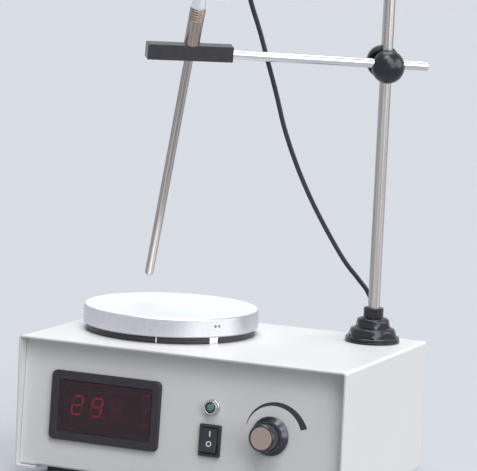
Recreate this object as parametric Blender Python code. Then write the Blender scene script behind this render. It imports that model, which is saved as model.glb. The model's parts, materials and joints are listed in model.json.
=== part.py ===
"""Heated magnetic stirrer: a sheet-metal case with a heated plate on top, a stirring
motor inside, controls on a leaning front panel, and a rod that holds a temperature
probe over the plate. Metres, +Z up; the origin is on the bench under the case's centre.
"""

import math

import bmesh
import bpy
from mathutils import Matrix, Vector

# Driving dimensions
CASE_WIDTH = 0.234
CASE_DEPTH = 0.155
CASE_HEIGHT = 0.089
CASE_BASE = 0.010
SHEET = 0.0012
BEND_RADIUS = 0.0020
VISOR_DEPTH = 0.0096
SILL_DEPTH = 0.0036
PLATE_DIAMETER = 0.120
PLATE_THICKNESS = 0.0130
PLATE_GAP = 0.0045
PLATE_CENTRE = (-0.0443, 0.0066)
ROD_DIAMETER = 0.008
ROD_CENTRE = (0.086, 0.053)
ROD_TOP = 0.400
ARM_DIAMETER = 0.0064
ARM_HEIGHT = 0.2891
ARM_AZIMUTH = math.radians(37.0)
ARM_DROOP = math.radians(1.6)
PROBE_ROLL = math.radians(21.9)
PROBE_LEAN = math.radians(1.25)
STEM_DIAMETER = 0.006
CORD_DIAMETER = 0.0032
GAP = 0.0003

# Heights and depths that follow from them
CASE_TOP = CASE_BASE + CASE_HEIGHT
CASE_FRONT = -CASE_DEPTH / 2
CASE_BACK = CASE_DEPTH / 2
PANEL_LEAN = math.atan2(VISOR_DEPTH - SILL_DEPTH, CASE_HEIGHT)
CHASSIS_LOW = CASE_BASE + SHEET + GAP
CHASSIS_FLOOR = CHASSIS_LOW + SHEET
CHASSIS_TOP = CASE_TOP - SHEET - GAP
REAR_FACE = CASE_BACK - 0.0015
PLATE_BASE = CASE_TOP + PLATE_GAP
PLATE_TOP = PLATE_BASE + PLATE_THICKNESS
QUARTER = math.pi / 2

for old in list(bpy.data.objects):
    bpy.data.objects.remove(old, do_unlink=True)


# Materials

def material(name, colour, roughness, metallic=0.0):
    finish = bpy.data.materials.get(name)
    if finish:
        return finish
    finish = bpy.data.materials.new(name)
    finish.use_nodes = True
    shader = finish.node_tree.nodes["Principled BSDF"]
    shader.inputs["Base Color"].default_value = (*colour, 1.0)
    shader.inputs["Roughness"].default_value = roughness
    shader.inputs["Metallic"].default_value = metallic
    return finish


CREAM_PAINT = material("cream_paint", (0.74, 0.73, 0.70), 0.45)
BLACK_PLASTIC = material("black_plastic", (0.02, 0.02, 0.022), 0.40)
GLOSSY_BLACK = material("glossy_black", (0.012, 0.012, 0.014), 0.15)
RUBBER = material("rubber", (0.025, 0.025, 0.025), 0.80)
ALUMINIUM = material("aluminium", (0.78, 0.78, 0.80), 0.35, 1.0)
STEEL = material("steel", (0.62, 0.61, 0.60), 0.30, 1.0)
ROD_STEEL = material("rod_steel", (0.58, 0.55, 0.53), 0.30, 1.0)
PROBE_STEEL = material("probe_steel", (0.66, 0.64, 0.62), 0.25, 1.0)
SATIN_NICKEL = material("satin_nickel", (0.46, 0.41, 0.36), 0.35, 1.0)
CHROME = material("chrome", (0.85, 0.85, 0.87), 0.08, 1.0)
MICA = material("mica", (0.55, 0.48, 0.36), 0.60)
WOOL_BOARD = material("wool_board", (0.80, 0.79, 0.74), 0.90)
MAGNET = material("magnet", (0.10, 0.10, 0.11), 0.50, 0.6)
CIRCUIT_BOARD = material("circuit_board", (0.04, 0.22, 0.09), 0.50)
SMOKED_RED = material("smoked_red", (0.05, 0.006, 0.008), 0.10)
GREEN_LENS = material("green_lens", (0.02, 0.30, 0.12), 0.15)
DARK_CABLE = material("dark_cable", (0.015, 0.018, 0.030), 0.45)


# Placing and shaping

def frame(name, location, rotation=(0, 0, 0), parent=None):
    empty = bpy.data.objects.new(name, None)
    bpy.context.collection.objects.link(empty)
    empty.location = location
    empty.rotation_euler = rotation
    empty.parent = parent
    return empty


def place(name, mesh, finish, location=(0, 0, 0), rotation=(0, 0, 0), parent=None):
    obj = bpy.data.objects.new(name, mesh)
    bpy.context.collection.objects.link(obj)
    obj.location = location
    obj.rotation_euler = rotation
    obj.parent = parent
    if finish and finish.name not in mesh.materials:
        mesh.materials.append(finish)
    mesh.shade_smooth()
    mesh.set_sharp_from_angle(angle=math.radians(32))
    return obj


def mesh_of(name, bm):
    bmesh.ops.recalc_face_normals(bm, faces=bm.faces)
    mesh = bpy.data.meshes.new(name)
    bm.to_mesh(mesh)
    bm.free()
    return mesh


def through_rings(name, rings, closed=False):
    """A mesh through rings of points; a ring of one point is a pole."""
    bm = bmesh.new()
    loops = [[bm.verts.new(point) for point in ring] for ring in rings]
    pairs = list(zip(loops, loops[1:]))
    if closed:
        pairs.append((loops[-1], loops[0]))
    for low, high in pairs:
        count = max(len(low), len(high))
        for i in range(count):
            j = (i + 1) % count
            if len(low) == 1:
                corners = (low[0], high[j], high[i])
            elif len(high) == 1:
                corners = (low[i], low[j], high[0])
            else:
                corners = (low[i], low[j], high[j], high[i])
            bm.faces.new(corners)
    return mesh_of(name, bm)


def circle(radius, height, steps):
    if radius == 0:
        return [(0, 0, height)]
    turns = [2 * math.pi * i / steps for i in range(steps)]
    return [(radius * math.cos(a), radius * math.sin(a), height) for a in turns]


def turned(name, profile, steps=32, closed=False):
    """A mesh turned about Z from (radius, height) points."""
    return through_rings(name, [circle(r, z, steps) for r, z in profile], closed)


def pin(name, radius, low, high, steps=28):
    """A mesh of a plain pin about Z."""
    return turned(name, [(0, low), (radius, low), (radius, high), (0, high)], steps)


def dome(radius, low, high, steps=6):
    """Profile points from the rim at low to the pole at high."""
    turns = [QUARTER * i / steps for i in range(steps + 1)]
    points = [(radius * math.cos(a), low + (high - low) * math.sin(a)) for a in turns]
    return points[:-1] + [(0, high)]


def extruded(name, outlines, low, high, axis):
    """A mesh of flat outlines carried along an axis from low to high."""
    lift = {
        "X": lambda a, b, t: (t, a, b),
        "Y": lambda a, b, t: (a, t, b),
        "Z": lambda a, b, t: (a, b, t),
    }[axis]
    bm = bmesh.new()
    for outline in outlines:
        near = [bm.verts.new(lift(a, b, low)) for a, b in outline]
        far = [bm.verts.new(lift(a, b, high)) for a, b in outline]
        bm.faces.new(near)
        bm.faces.new(list(reversed(far)))
        for i in range(len(near)):
            j = (i + 1) % len(near)
            bm.faces.new((near[i], far[i], far[j], near[j]))
    return mesh_of(name, bm)


def rectangle(width, height, centre=(0, 0)):
    x, y = centre
    w, h = width / 2, height / 2
    return [(x - w, y - h), (x + w, y - h), (x + w, y + h), (x - w, y + h)]


def rounded_rectangle(width, height, radius, centre=(0, 0), steps=4):
    corners = rectangle(width - 2 * radius, height - 2 * radius, centre)
    outline = []
    for corner, start in zip(corners, (math.pi, 1.5 * math.pi, 0, QUARTER)):
        for i in range(steps + 1):
            a = start + QUARTER * i / steps
            outline.append((corner[0] + radius * math.cos(a), corner[1] + radius * math.sin(a)))
    return outline


def disc(radius, centre=(0, 0), steps=24):
    return [(centre[0] + x, centre[1] + y) for x, y, _ in circle(radius, 0, steps)]


def box(name, width, depth, height, centre=(0, 0), low=0.0):
    return extruded(name, [rectangle(width, depth, centre)], low, low + height, "Z")


def rounded_path(points, radius, steps=3):
    """An open path whose corners are arcs."""
    path = [Vector(points[0])]
    for before, corner, after in zip(points, points[1:], points[2:]):
        corner = Vector(corner)
        come = (corner - Vector(before)).normalized()
        go = (Vector(after) - corner).normalized()
        turn = come.angle_signed(go)
        side = -math.copysign(1, turn)
        start = corner - come * radius * math.tan(abs(turn) / 2)
        middle = start + Vector((-come.y, come.x)) * radius * side
        for i in range(steps + 1):
            spin = Matrix.Rotation(side * abs(turn) * i / steps, 2)
            path.append(middle + spin @ (start - middle))
    return path + [Vector(points[-1])]


def sheet_outline(points, thickness=SHEET, radius=BEND_RADIUS):
    """The closed outline of a bent sheet whose outer face follows points,
    with the metal on the left of the way along them."""
    outer = rounded_path(points, radius)
    inner = []
    for i, point in enumerate(outer):
        ways = []
        if i > 0:
            ways.append((point - outer[i - 1]).normalized())
        if i < len(outer) - 1:
            ways.append((outer[i + 1] - point).normalized())
        way = sum(ways, Vector((0, 0))).normalized()
        left = Vector((-way.y, way.x))
        inner.append(point + left * thickness / max(0.2, way.dot(ways[0])))
    return [tuple(p) for p in outer] + [tuple(p) for p in reversed(inner)]


def soften(obj, width, segments=2, angle=30):
    bevel = obj.modifiers.new("soften", "BEVEL")
    bevel.width = width
    bevel.segments = segments
    bevel.limit_method = "ANGLE"
    bevel.angle_limit = math.radians(angle)
    return obj


def shape(obj, other, operation="DIFFERENCE"):
    """Cut obj by a guide body, or join the guide body to it."""
    other.hide_render = True
    other.display_type = "WIRE"
    joint = obj.modifiers.new(other.name, "BOOLEAN")
    joint.object = other
    joint.operation = operation
    joint.solver = "EXACT"
    return obj


def punch(obj, outlines, low, high, axis, parent=None, location=(0, 0, 0), rotation=(0, 0, 0)):
    name = f"{obj.name}_cutter_{len(obj.modifiers)}"
    mesh = extruded(name, outlines, low, high, axis)
    return shape(obj, place(name, mesh, None, location, rotation, parent))


# The frames that the pieces stand in

panel = frame("panel_frame", (0, CASE_FRONT + SILL_DEPTH, CASE_BASE), (-PANEL_LEAN, 0, 0))
rear = frame("rear_frame", (0, REAR_FACE, 0))
plate = frame("plate_frame", (*PLATE_CENTRE, 0))
stand = frame("stand_frame", (*ROD_CENTRE, 0))
FACING_FRONT = (QUARTER, 0, 0)
FACING_BACK = (-QUARTER, 0, 0)

# Places on the front panel: across, and up the panel from the case's lower edge
DISPLAY_PLACE = (-0.0539, 0.0446)
LAMP_PLACE = (0.0230, 0.0555)
SWITCH_PLACE = (0.0230, 0.0336)
KNOB_PLACE = (0.0649, 0.0414)

# Places on the back: across, and up from the bench
INLET_PLACE = (-0.070, 0.046)
FUSE_PLACE = (-0.030, 0.046)
SOCKET_PLACE = (0.045, 0.046)

# Outlines and sizes that two pieces share
DISPLAY_BODY = (0.0750, 0.0390)
SWITCH_BODY = (0.0126, 0.0190)
LAMP_BODY_RADIUS = 0.0040
BUSH_RADIUS = 0.0045
INLET_BODY = (0.0270, 0.0196)
FUSE_BODY_RADIUS = 0.0062
SOCKET_BODY_RADIUS = 0.0078
FOOT_PLACE = (0.089, 0.060)
SCREW_PLACE = (0.1095, 0.052)
CORNERS = {"front_left": (-1, -1), "front_right": (1, -1), "rear_left": (-1, 1), "rear_right": (1, 1)}
STANDOFF_RADIUS = 0.054
STANDOFF_ANGLES = [math.radians(a) for a in (325, 85, 205)]
RING_SPLIT = math.radians(285)


def panel_reach(along, out):
    """World depth of a point on the front panel's frame."""
    return CASE_FRONT + SILL_DEPTH + along * math.sin(PANEL_LEAN) - out * math.cos(PANEL_LEAN)


# Case

LIP = 0.014
FLANGE = 0.010
ROD_HOLE_RADIUS = 0.0032


def corner_places(place_xy):
    return [(place_xy[0] * sx, place_xy[1] * sy) for sx, sy in CORNERS.values()]


def make_cover():
    half = CASE_WIDTH / 2
    path = [
        (half - LIP, CASE_BASE),
        (half, CASE_BASE),
        (half, CASE_TOP),
        (-half, CASE_TOP),
        (-half, CASE_BASE),
        (-half + LIP, CASE_BASE),
    ]
    mesh = extruded("cover", [sheet_outline(path)], CASE_FRONT, CASE_BACK, "Y")
    cover = place("cover", mesh, CREAM_PAINT)
    screw_holes = [disc(0.0018, spot, 12) for spot in corner_places(SCREW_PLACE)]
    punch(cover, screw_holes, CASE_BASE - 0.002, CASE_BASE + 0.004, "Z")
    wire_hole = disc(0.005, (PLATE_CENTRE[0] + 0.030, PLATE_CENTRE[1]), 16)
    rod_hole = disc(ROD_HOLE_RADIUS, ROD_CENTRE, 16)
    punch(cover, [wire_hole, rod_hole], CASE_TOP - 0.004, CASE_TOP + 0.002, "Z")
    return cover


def make_chassis():
    def front(z):
        return CASE_FRONT + SILL_DEPTH + (z - CASE_BASE) * math.tan(PANEL_LEAN)

    path = [
        (front(CHASSIS_TOP) + FLANGE, CHASSIS_TOP),
        (front(CHASSIS_TOP), CHASSIS_TOP),
        (front(CHASSIS_LOW), CHASSIS_LOW),
        (REAR_FACE, CHASSIS_LOW),
        (REAR_FACE, CHASSIS_TOP),
        (REAR_FACE - FLANGE, CHASSIS_TOP),
    ]
    half = CASE_WIDTH / 2 - SHEET - GAP
    chassis = place("chassis", extruded("chassis", [sheet_outline(path)], -half, half, "X"), CREAM_PAINT)
    front_openings = [
        rectangle(DISPLAY_BODY[0] + 2 * GAP, DISPLAY_BODY[1] + 2 * GAP, DISPLAY_PLACE),
        disc(LAMP_BODY_RADIUS + GAP, LAMP_PLACE),
        rectangle(SWITCH_BODY[0] + 2 * GAP, SWITCH_BODY[1] + 2 * GAP, SWITCH_PLACE),
        disc(BUSH_RADIUS + GAP, KNOB_PLACE),
    ]
    punch(chassis, front_openings, -0.003, 0.004, "Y", panel)
    vents = [
        rounded_rectangle(0.0030, 0.030, 0.0014, (0.080 + 0.0065 * i, 0.055), 2) for i in range(5)
    ]
    rear_openings = [
        rectangle(INLET_BODY[0] + 2 * GAP, INLET_BODY[1] + 2 * GAP, INLET_PLACE),
        disc(FUSE_BODY_RADIUS + GAP, FUSE_PLACE),
        disc(SOCKET_BODY_RADIUS + GAP, SOCKET_PLACE),
    ]
    punch(chassis, rear_openings + vents, -0.003, 0.002, "Y", rear)
    screw_holes = [disc(0.0018, spot, 12) for spot in corner_places(SCREW_PLACE)]
    punch(chassis, screw_holes, CHASSIS_LOW - 0.002, CHASSIS_FLOOR + 0.002, "Z")
    return chassis


def make_feet():
    top = CHASSIS_LOW - GAP
    profile = [(0, 0), (0.0095, 0), (0.0103, 0.0008), (0.0110, top - 0.0006), (0.0106, top), (0, top)]
    mesh = turned("foot", profile, 28)
    for corner, (sx, sy) in CORNERS.items():
        spot = (FOOT_PLACE[0] * sx, FOOT_PLACE[1] * sy, 0)
        place(f"foot_{corner}", mesh, RUBBER, spot)


def make_cover_screws():
    head_low = CASE_BASE - GAP - 0.0018
    head_high = CASE_BASE - GAP
    profile = [
        (0, head_low),
        (0.0022, head_low),
        (0.0028, head_low + 0.0006),
        (0.0028, head_high),
        (0.0014, head_high),
        (0.0014, CHASSIS_FLOOR + 0.004),
        (0, CHASSIS_FLOOR + 0.004),
    ]
    mesh = turned("cover_screw", profile, 16)
    for corner, (sx, sy) in CORNERS.items():
        spot = (SCREW_PLACE[0] * sx, SCREW_PLACE[1] * sy, 0)
        place(f"cover_screw_{corner}", mesh, STEEL, spot)


# Heated plate: a dished aluminium disc that holds its element, board and retainer

POCKET_RADIUS = 0.0505
POCKET_DEPTH = 0.0080
SIDE_HOLES = [math.radians(a) for a in (324.2, 326.9)]


def make_hot_plate():
    radius = PLATE_DIAMETER / 2
    ceiling = PLATE_BASE + POCKET_DEPTH
    profile = [
        (0, PLATE_TOP),
        (radius - 0.0009, PLATE_TOP),
        (radius, PLATE_TOP - 0.0009),
        (radius, PLATE_BASE + 0.0009),
        (radius - 0.0009, PLATE_BASE),
        (POCKET_RADIUS, PLATE_BASE),
        (POCKET_RADIUS, ceiling),
        (0, ceiling),
    ]
    dish = place("hot_plate", turned("hot_plate", profile, 72), ALUMINIUM, parent=plate)
    for angle in SIDE_HOLES:
        drill = extruded("drill", [disc(0.0008, steps=8)], radius - 0.004, radius + 0.001, "X")
        spot = (0, 0, PLATE_BASE + 0.0077)
        shape(dish, place(f"side_hole_{len(dish.modifiers)}", drill, None, spot, (0, 0, angle), plate))


def make_plate_filling():
    element_high = PLATE_BASE + POCKET_DEPTH - GAP
    element_low = element_high - 0.0020
    board_high = element_low - GAP
    board_low = board_high - 0.0035
    retainer_high = board_low - GAP
    layers = {
        "heater_element": (0.016, 0.048, element_low, element_high, MICA),
        "insulation_disc": (0.004, 0.0495, board_low, board_high, WOOL_BOARD),
        "heater_retainer": (0.004, 0.0500, retainer_high - 0.0012, retainer_high, STEEL),
    }
    for name, (hole, radius, low, high, finish) in layers.items():
        profile = [(hole, low), (radius, low), (radius, high), (hole, high)]
        place(name, turned(name, profile, 40, closed=True), finish, parent=plate)


def make_plate_supports():
    low = CASE_TOP + GAP
    high = PLATE_BASE - GAP
    post_mesh = pin("plate_standoff", 0.0035, low, high, 24)
    spots = [Vector((math.cos(a), math.sin(a))) * STANDOFF_RADIUS for a in STANDOFF_ANGLES]
    for i, spot in enumerate(spots):
        place(f"plate_standoff_{i + 1}", post_mesh, ALUMINIUM, (*spot, 0), parent=plate)
    profile = [(0.0460, low), (0.0579, low), (0.0579, high), (0.0460, high)]
    ring_mesh = turned("insulating_ring", profile, 60, closed=True)
    ring = place("insulating_ring", ring_mesh, BLACK_PLASTIC, parent=plate)
    notch = rectangle(0.014, 0.0078)
    for angle in STANDOFF_ANGLES:
        middle = Vector((math.cos(angle), math.sin(angle))) * (STANDOFF_RADIUS + 0.0026)
        punch(ring, [notch], low - 0.001, high + 0.001, "Z", plate, (*middle, 0), (0, 0, angle))
    split = rectangle(0.020, 0.0011, (0.052, 0))
    punch(ring, [split], low - 0.001, high + 0.001, "Z", plate, rotation=(0, 0, RING_SPLIT))


# Stirring drive under the plate

BRACKET_TOP = 0.0780
BRACKET_SHEET = 0.0015
MOTOR_RADIUS = 0.018
SHAFT_RADIUS = 0.0020
HUB_LOW = 0.0815
HUB_HIGH = 0.0875


def make_drive():
    foot_level = CHASSIS_FLOOR + GAP + BRACKET_SHEET
    path = [
        (0.038, foot_level),
        (0.026, foot_level),
        (0.026, BRACKET_TOP),
        (-0.026, BRACKET_TOP),
        (-0.026, foot_level),
        (-0.038, foot_level),
    ]
    outline = sheet_outline(path, BRACKET_SHEET, 0.0028)
    bracket_mesh = extruded("motor_bracket", [outline], -0.020, 0.020, "Y")
    bracket = place("motor_bracket", bracket_mesh, STEEL, parent=plate)
    punch(bracket, [disc(0.0055, steps=20)], BRACKET_TOP - 0.004, BRACKET_TOP + 0.003, "Z", plate)
    motor_high = BRACKET_TOP - BRACKET_SHEET - GAP
    motor_low = motor_high - 0.044
    bore = SHAFT_RADIUS + GAP
    motor_profile = [
        (0, motor_low),
        (0.007, motor_low),
        (0.007, motor_low + 0.003),
        (MOTOR_RADIUS - 0.0015, motor_low + 0.003),
        (MOTOR_RADIUS, motor_low + 0.0045),
        (MOTOR_RADIUS, motor_high - 0.0015),
        (MOTOR_RADIUS - 0.0015, motor_high),
        (bore, motor_high),
        (bore, motor_high - 0.016),
        (0, motor_high - 0.016),
    ]
    place("motor", turned("motor", motor_profile, 36), STEEL, parent=plate)
    shaft_low = motor_high - 0.0155
    shaft_high = HUB_LOW + 0.0038
    place("motor_shaft", pin("motor_shaft", SHAFT_RADIUS, shaft_low, shaft_high, 20), STEEL, parent=plate)
    bar = rounded_rectangle(0.050, 0.020, 0.0098, steps=6)
    hub_mesh = extruded("magnet_holder", [bar], HUB_LOW, HUB_HIGH, "Z")
    hub = place("magnet_holder", hub_mesh, ALUMINIUM, parent=plate)
    punch(hub, [disc(SHAFT_RADIUS + GAP, steps=20)], HUB_LOW - 0.002, HUB_LOW + 0.0042, "Z", plate)
    magnet = pin("magnet", 0.0072, HUB_HIGH + GAP, HUB_HIGH + 0.0062)
    for side, x in (("left", -0.015), ("right", 0.015)):
        place(f"magnet_{side}", magnet, MAGNET, (x, 0, 0), parent=plate)


# Transformer and control board on the chassis floor

TRANSFORMER_PLACE = (0.078, 0.004)
BOARD_PLACE = (0.022, 0.004)


def make_electrics():
    floor = CHASSIS_FLOOR + GAP
    core_mesh = box("transformer", 0.046, 0.024, 0.038, low=floor)
    core = place("transformer", core_mesh, STEEL, (*TRANSFORMER_PLACE, 0))
    coil_outline = rounded_rectangle(0.030, 0.040, 0.004)
    coil_mesh = extruded("coil", [coil_outline], floor + 0.006, floor + 0.032, "Z")
    shape(core, place("transformer_coil", coil_mesh, None, (*TRANSFORMER_PLACE, 0)), "UNION")
    level = floor + 0.006
    board_mesh = box("control_board", 0.052, 0.078, 0.0016, low=level)
    board = place("control_board", board_mesh, CIRCUIT_BOARD, (*BOARD_PLACE, 0))
    fitted = {
        "board_relay": box("relay", 0.020, 0.016, 0.0160, (-0.012, 0.026), level + 0.0008),
        "board_heat_sink": box("heat_sink", 0.0040, 0.040, 0.0240, (0.022, -0.010), level + 0.0008),
        "board_terminals": box("terminals", 0.030, 0.0080, 0.0100, (-0.008, -0.033), level + 0.0008),
    }
    for name, mesh in fitted.items():
        shape(board, place(name, mesh, None, (*BOARD_PLACE, 0)), "UNION")
    posts = [disc(0.0030, (0.022 * sx, 0.035 * sy), 12) for sx, sy in CORNERS.values()]
    legs = place("board_legs", extruded("legs", posts, floor, level + 0.0008, "Z"), None, (*BOARD_PLACE, 0))
    shape(board, legs, "UNION")
    capacitor = pin("capacitor", 0.0080, level + 0.0008, level + 0.020, 20)
    spot = (BOARD_PLACE[0] - 0.002, BOARD_PLACE[1] - 0.002, 0)
    shape(board, place("board_capacitor", capacitor, None, spot), "UNION")


# Front panel controls

BEZEL_SIZE = (0.0800, 0.0465)
BEZEL_DEPTH = 0.0030
WINDOW_SIZE = (0.0680, 0.0345)


def make_display():
    x, v = DISPLAY_PLACE
    outline = rounded_rectangle(*BEZEL_SIZE, 0.0038, (x, v), 5)
    body = extruded("display_bezel", [outline], -BEZEL_DEPTH, -GAP, "Y")
    bezel = place("display_bezel", body, BLACK_PLASTIC, parent=panel)
    soften(bezel, 0.0008, 2, 50)
    sleeve = extruded("sleeve", [rectangle(*DISPLAY_BODY, (x, v))], -0.0015, 0.0070, "Y")
    shape(bezel, place("bezel_sleeve", sleeve, None, parent=panel), "UNION")
    punch(bezel, [rectangle(*WINDOW_SIZE, (x, v))], -0.010, 0.012, "Y", panel)
    room = [DISPLAY_BODY[0] - 0.003, DISPLAY_BODY[1] - 0.003]
    punch(bezel, [rectangle(*room, (x, v))], 0.0004, 0.012, "Y", panel)
    window_size = (WINDOW_SIZE[0] - 2 * GAP, WINDOW_SIZE[1] - 2 * GAP)
    window = extruded("display_window", [rectangle(*window_size, (x, v))], -0.0028, -0.0006, "Y")
    place("display_window", window, SMOKED_RED, parent=panel)
    board_size = (room[0] - 0.001, room[1] - 0.001)
    board = extruded("display_board", [rectangle(*board_size, (x, v))], 0.0100, 0.0116, "Y")
    board = place("display_board", board, CIRCUIT_BOARD, parent=panel)
    digits = extruded("digits", [rectangle(0.0500, 0.0190, (x, v + 0.002))], 0.0012, 0.0108, "Y")
    shape(board, place("board_digits", digits, None, parent=panel), "UNION")


def make_lamp():
    spot = (LAMP_PLACE[0], 0, LAMP_PLACE[1])
    rim = 0.0053
    cup = 0.0036
    profile = [
        (0, -0.018),
        (LAMP_BODY_RADIUS, -0.018),
        (LAMP_BODY_RADIUS, GAP),
        (rim, GAP),
        (rim, 0.0012),
        (rim - 0.0005, 0.0018),
        (0.0047, 0.0022),
        (0.0045, 0.0044),
        (0.0041, 0.0048),
        (cup, 0.0044),
        (cup, 0.0012),
        (0, 0.0012),
    ]
    place("lamp_bezel", turned("lamp_bezel", profile, 32), CHROME, spot, FACING_FRONT, panel)
    lens_radius = cup - GAP
    lens = [(0, 0.0012 + GAP), (lens_radius, 0.0012 + GAP)] + dome(lens_radius, 0.0036, 0.0052, 4)
    place("lamp_lens", turned("lamp_lens", lens, 28), GREEN_LENS, spot, FACING_FRONT, panel)


SWITCH_BEZEL = (0.0152, 0.0212)
ROCKER_SIZE = (0.0106, 0.0172)
ROCKER_RADIUS = 0.0083
ROCKER_PIVOT = 0.0005
ROCKER_LOW_CORNER = math.radians(16.5)
ROCKER_HIGH_CORNER = math.radians(32.5)


def make_switch():
    x, v = SWITCH_PLACE
    outline = rounded_rectangle(*SWITCH_BEZEL, 0.0008, (x, v), 2)
    flange = extruded("switch_frame", [outline], -0.0020, -GAP, "Y")
    body = place("switch_frame", flange, BLACK_PLASTIC, parent=panel)
    shell = extruded("switch_shell", [rectangle(*SWITCH_BODY, (x, v))], -0.0010, 0.0160, "Y")
    shape(body, place("switch_body", shell, None, parent=panel), "UNION")
    well = rectangle(ROCKER_SIZE[0] + 2 * GAP, ROCKER_SIZE[1], (x, v))
    punch(body, [well], -0.0040, 0.0095, "Y", panel)


def rocker_outline():
    """Side view of the rocker about its pivot: (depth, height) points."""
    def rim(angle):
        return (-ROCKER_RADIUS * math.sin(angle), ROCKER_RADIUS * math.cos(angle))

    def mirrored(angle):
        y, z = rim(angle)
        return (y, -z)

    back = math.radians(-35)
    steps = 4
    upper = [rim(ROCKER_LOW_CORNER + (back - ROCKER_LOW_CORNER) * i / steps) for i in range(steps + 1)]
    lower = [mirrored(back + (ROCKER_HIGH_CORNER - back) * i / steps) for i in range(steps + 1)]
    valley = (-0.0024, 0.0008)
    return [valley] + upper + lower


def make_rocker():
    spot = (SWITCH_PLACE[0], -ROCKER_PIVOT, SWITCH_PLACE[1])
    half = ROCKER_SIZE[0] / 2
    rocker = extruded("power_rocker", [rocker_outline()], -half, half, "X")
    place("power_rocker", rocker, BLACK_PLASTIC, spot, parent=panel)


POT_SHAFT_RADIUS = 0.0030
KNOB_SKIRT_RADIUS = 0.0128
KNOB_BODY_RADIUS = 0.0089
KNOB_FRONT = 0.0166
KNOB_BACK = 0.0009
CAP_RADIUS = 0.0073


def make_speed_control():
    spot = (KNOB_PLACE[0], 0, KNOB_PLACE[1])
    bore = POT_SHAFT_RADIUS + GAP
    can = -SHEET - GAP
    pot = [
        (0, can - 0.010),
        (0.0082, can - 0.010),
        (0.0082, can),
        (BUSH_RADIUS, can),
        (BUSH_RADIUS, 0.0055),
        (bore, 0.0055),
        (bore, can - 0.004),
        (0, can - 0.004),
    ]
    place("potentiometer", turned("potentiometer", pot, 28), ALUMINIUM, spot, FACING_FRONT, panel)
    nut_outline = [(0.0069 * x, 0.0069 * y) for x, y in disc(1, steps=6)]
    nut_mesh = extruded("nut", [nut_outline], GAP, GAP + 0.0020, "Z")
    nut = place("potentiometer_nut", nut_mesh, STEEL, spot, FACING_FRONT, panel)
    punch(nut, [disc(BUSH_RADIUS + GAP)], -0.002, 0.005, "Z", panel, spot, FACING_FRONT)
    shaft = pin("potentiometer_shaft", POT_SHAFT_RADIUS, can - 0.0036, 0.0132, 24)
    place("potentiometer_shaft", shaft, STEEL, spot, FACING_FRONT, panel)
    hollow = 0.0085
    knob = [
        (0, 0.0136),
        (bore, 0.0136),
        (bore, 0.0060),
        (hollow, 0.0060),
        (hollow, KNOB_BACK),
        (KNOB_SKIRT_RADIUS - 0.0003, KNOB_BACK),
        (KNOB_SKIRT_RADIUS, KNOB_BACK + 0.0004),
        (KNOB_SKIRT_RADIUS, KNOB_BACK + 0.0009),
        (KNOB_SKIRT_RADIUS - 0.0004, KNOB_BACK + 0.0014),
        (KNOB_BODY_RADIUS + 0.0008, KNOB_BACK + 0.0040),
        (KNOB_BODY_RADIUS + 0.0004, KNOB_BACK + 0.0047),
        (KNOB_BODY_RADIUS + 0.0003, KNOB_BACK + 0.0060),
        (KNOB_BODY_RADIUS, KNOB_FRONT - 0.0009),
        (KNOB_BODY_RADIUS - 0.0007, KNOB_FRONT),
        (CAP_RADIUS + GAP, KNOB_FRONT),
        (CAP_RADIUS + GAP, KNOB_FRONT - 0.0012),
        (0, KNOB_FRONT - 0.0012),
    ]
    place("speed_knob", turned("speed_knob", knob, 40), GLOSSY_BLACK, spot, FACING_FRONT, panel)
    seat = KNOB_FRONT - 0.0012 + GAP
    cap = pin("knob_cap", CAP_RADIUS, seat, KNOB_FRONT - 0.0002, 36)
    place("knob_cap", cap, ALUMINIUM, spot, FACING_FRONT, panel)


# Rear connections

KNOB_REACH = -panel_reach(KNOB_PLACE[1] - KNOB_BODY_RADIUS + 0.0007, KNOB_FRONT)
FUSE_REACH = KNOB_REACH - REAR_FACE


def make_mains_inlet():
    x, z = INLET_PLACE
    outline = rounded_rectangle(0.0310, 0.0240, 0.0030, (x, z), 3)
    flange = extruded("mains_inlet", [outline], GAP, 0.0030, "Y")
    inlet = place("mains_inlet", flange, BLACK_PLASTIC, parent=rear)
    shell = extruded("inlet_shell", [rectangle(*INLET_BODY, (x, z))], -0.0175, 0.0010, "Y")
    shape(inlet, place("inlet_body", shell, None, parent=rear), "UNION")
    right_side = [(0.0120, -0.0082), (0.0120, 0.0040), (0.0078, 0.0082)]
    cavity = right_side + [(-a, b) for a, b in reversed(right_side)]
    punch(inlet, [[(x + a, z + b) for a, b in cavity]], -0.0150, 0.0060, "Y", rear)
    pin_places = ((-0.0070, -0.0010), (0.0070, -0.0010), (0, 0.0030))
    pins = [rectangle(0.0020, 0.0040, (x + a, z + b)) for a, b in pin_places]
    prongs = extruded("inlet_pins", pins, -0.0160, -0.0010, "Y")
    shape(inlet, place("inlet_prongs", prongs, None, parent=rear), "UNION")


def make_fuse_holder():
    spot = (FUSE_PLACE[0], 0, FUSE_PLACE[1])
    body = [
        (0, -0.030),
        (0.0050, -0.030),
        (FUSE_BODY_RADIUS, -0.026),
        (FUSE_BODY_RADIUS, GAP),
        (0.0088, GAP),
        (0.0088, 0.0018),
        (0.0082, 0.0024),
        (0.0058, 0.0024),
        (0.0058, -0.010),
        (0, -0.010),
    ]
    place("fuse_holder", turned("fuse_holder", body, 28), BLACK_PLASTIC, spot, FACING_BACK, rear)
    cap = [
        (0, -0.0096),
        (0.0052, -0.0096),
        (0.0052, 0.0028),
        (0.0072, 0.0028),
        (0.0072, FUSE_REACH - 0.0010),
        (0.0062, FUSE_REACH),
        (0, FUSE_REACH),
    ]
    place("fuse_cap", turned("fuse_cap", cap, 28), BLACK_PLASTIC, spot, FACING_BACK, rear)


PLUG_LENGTH = 0.024


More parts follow.
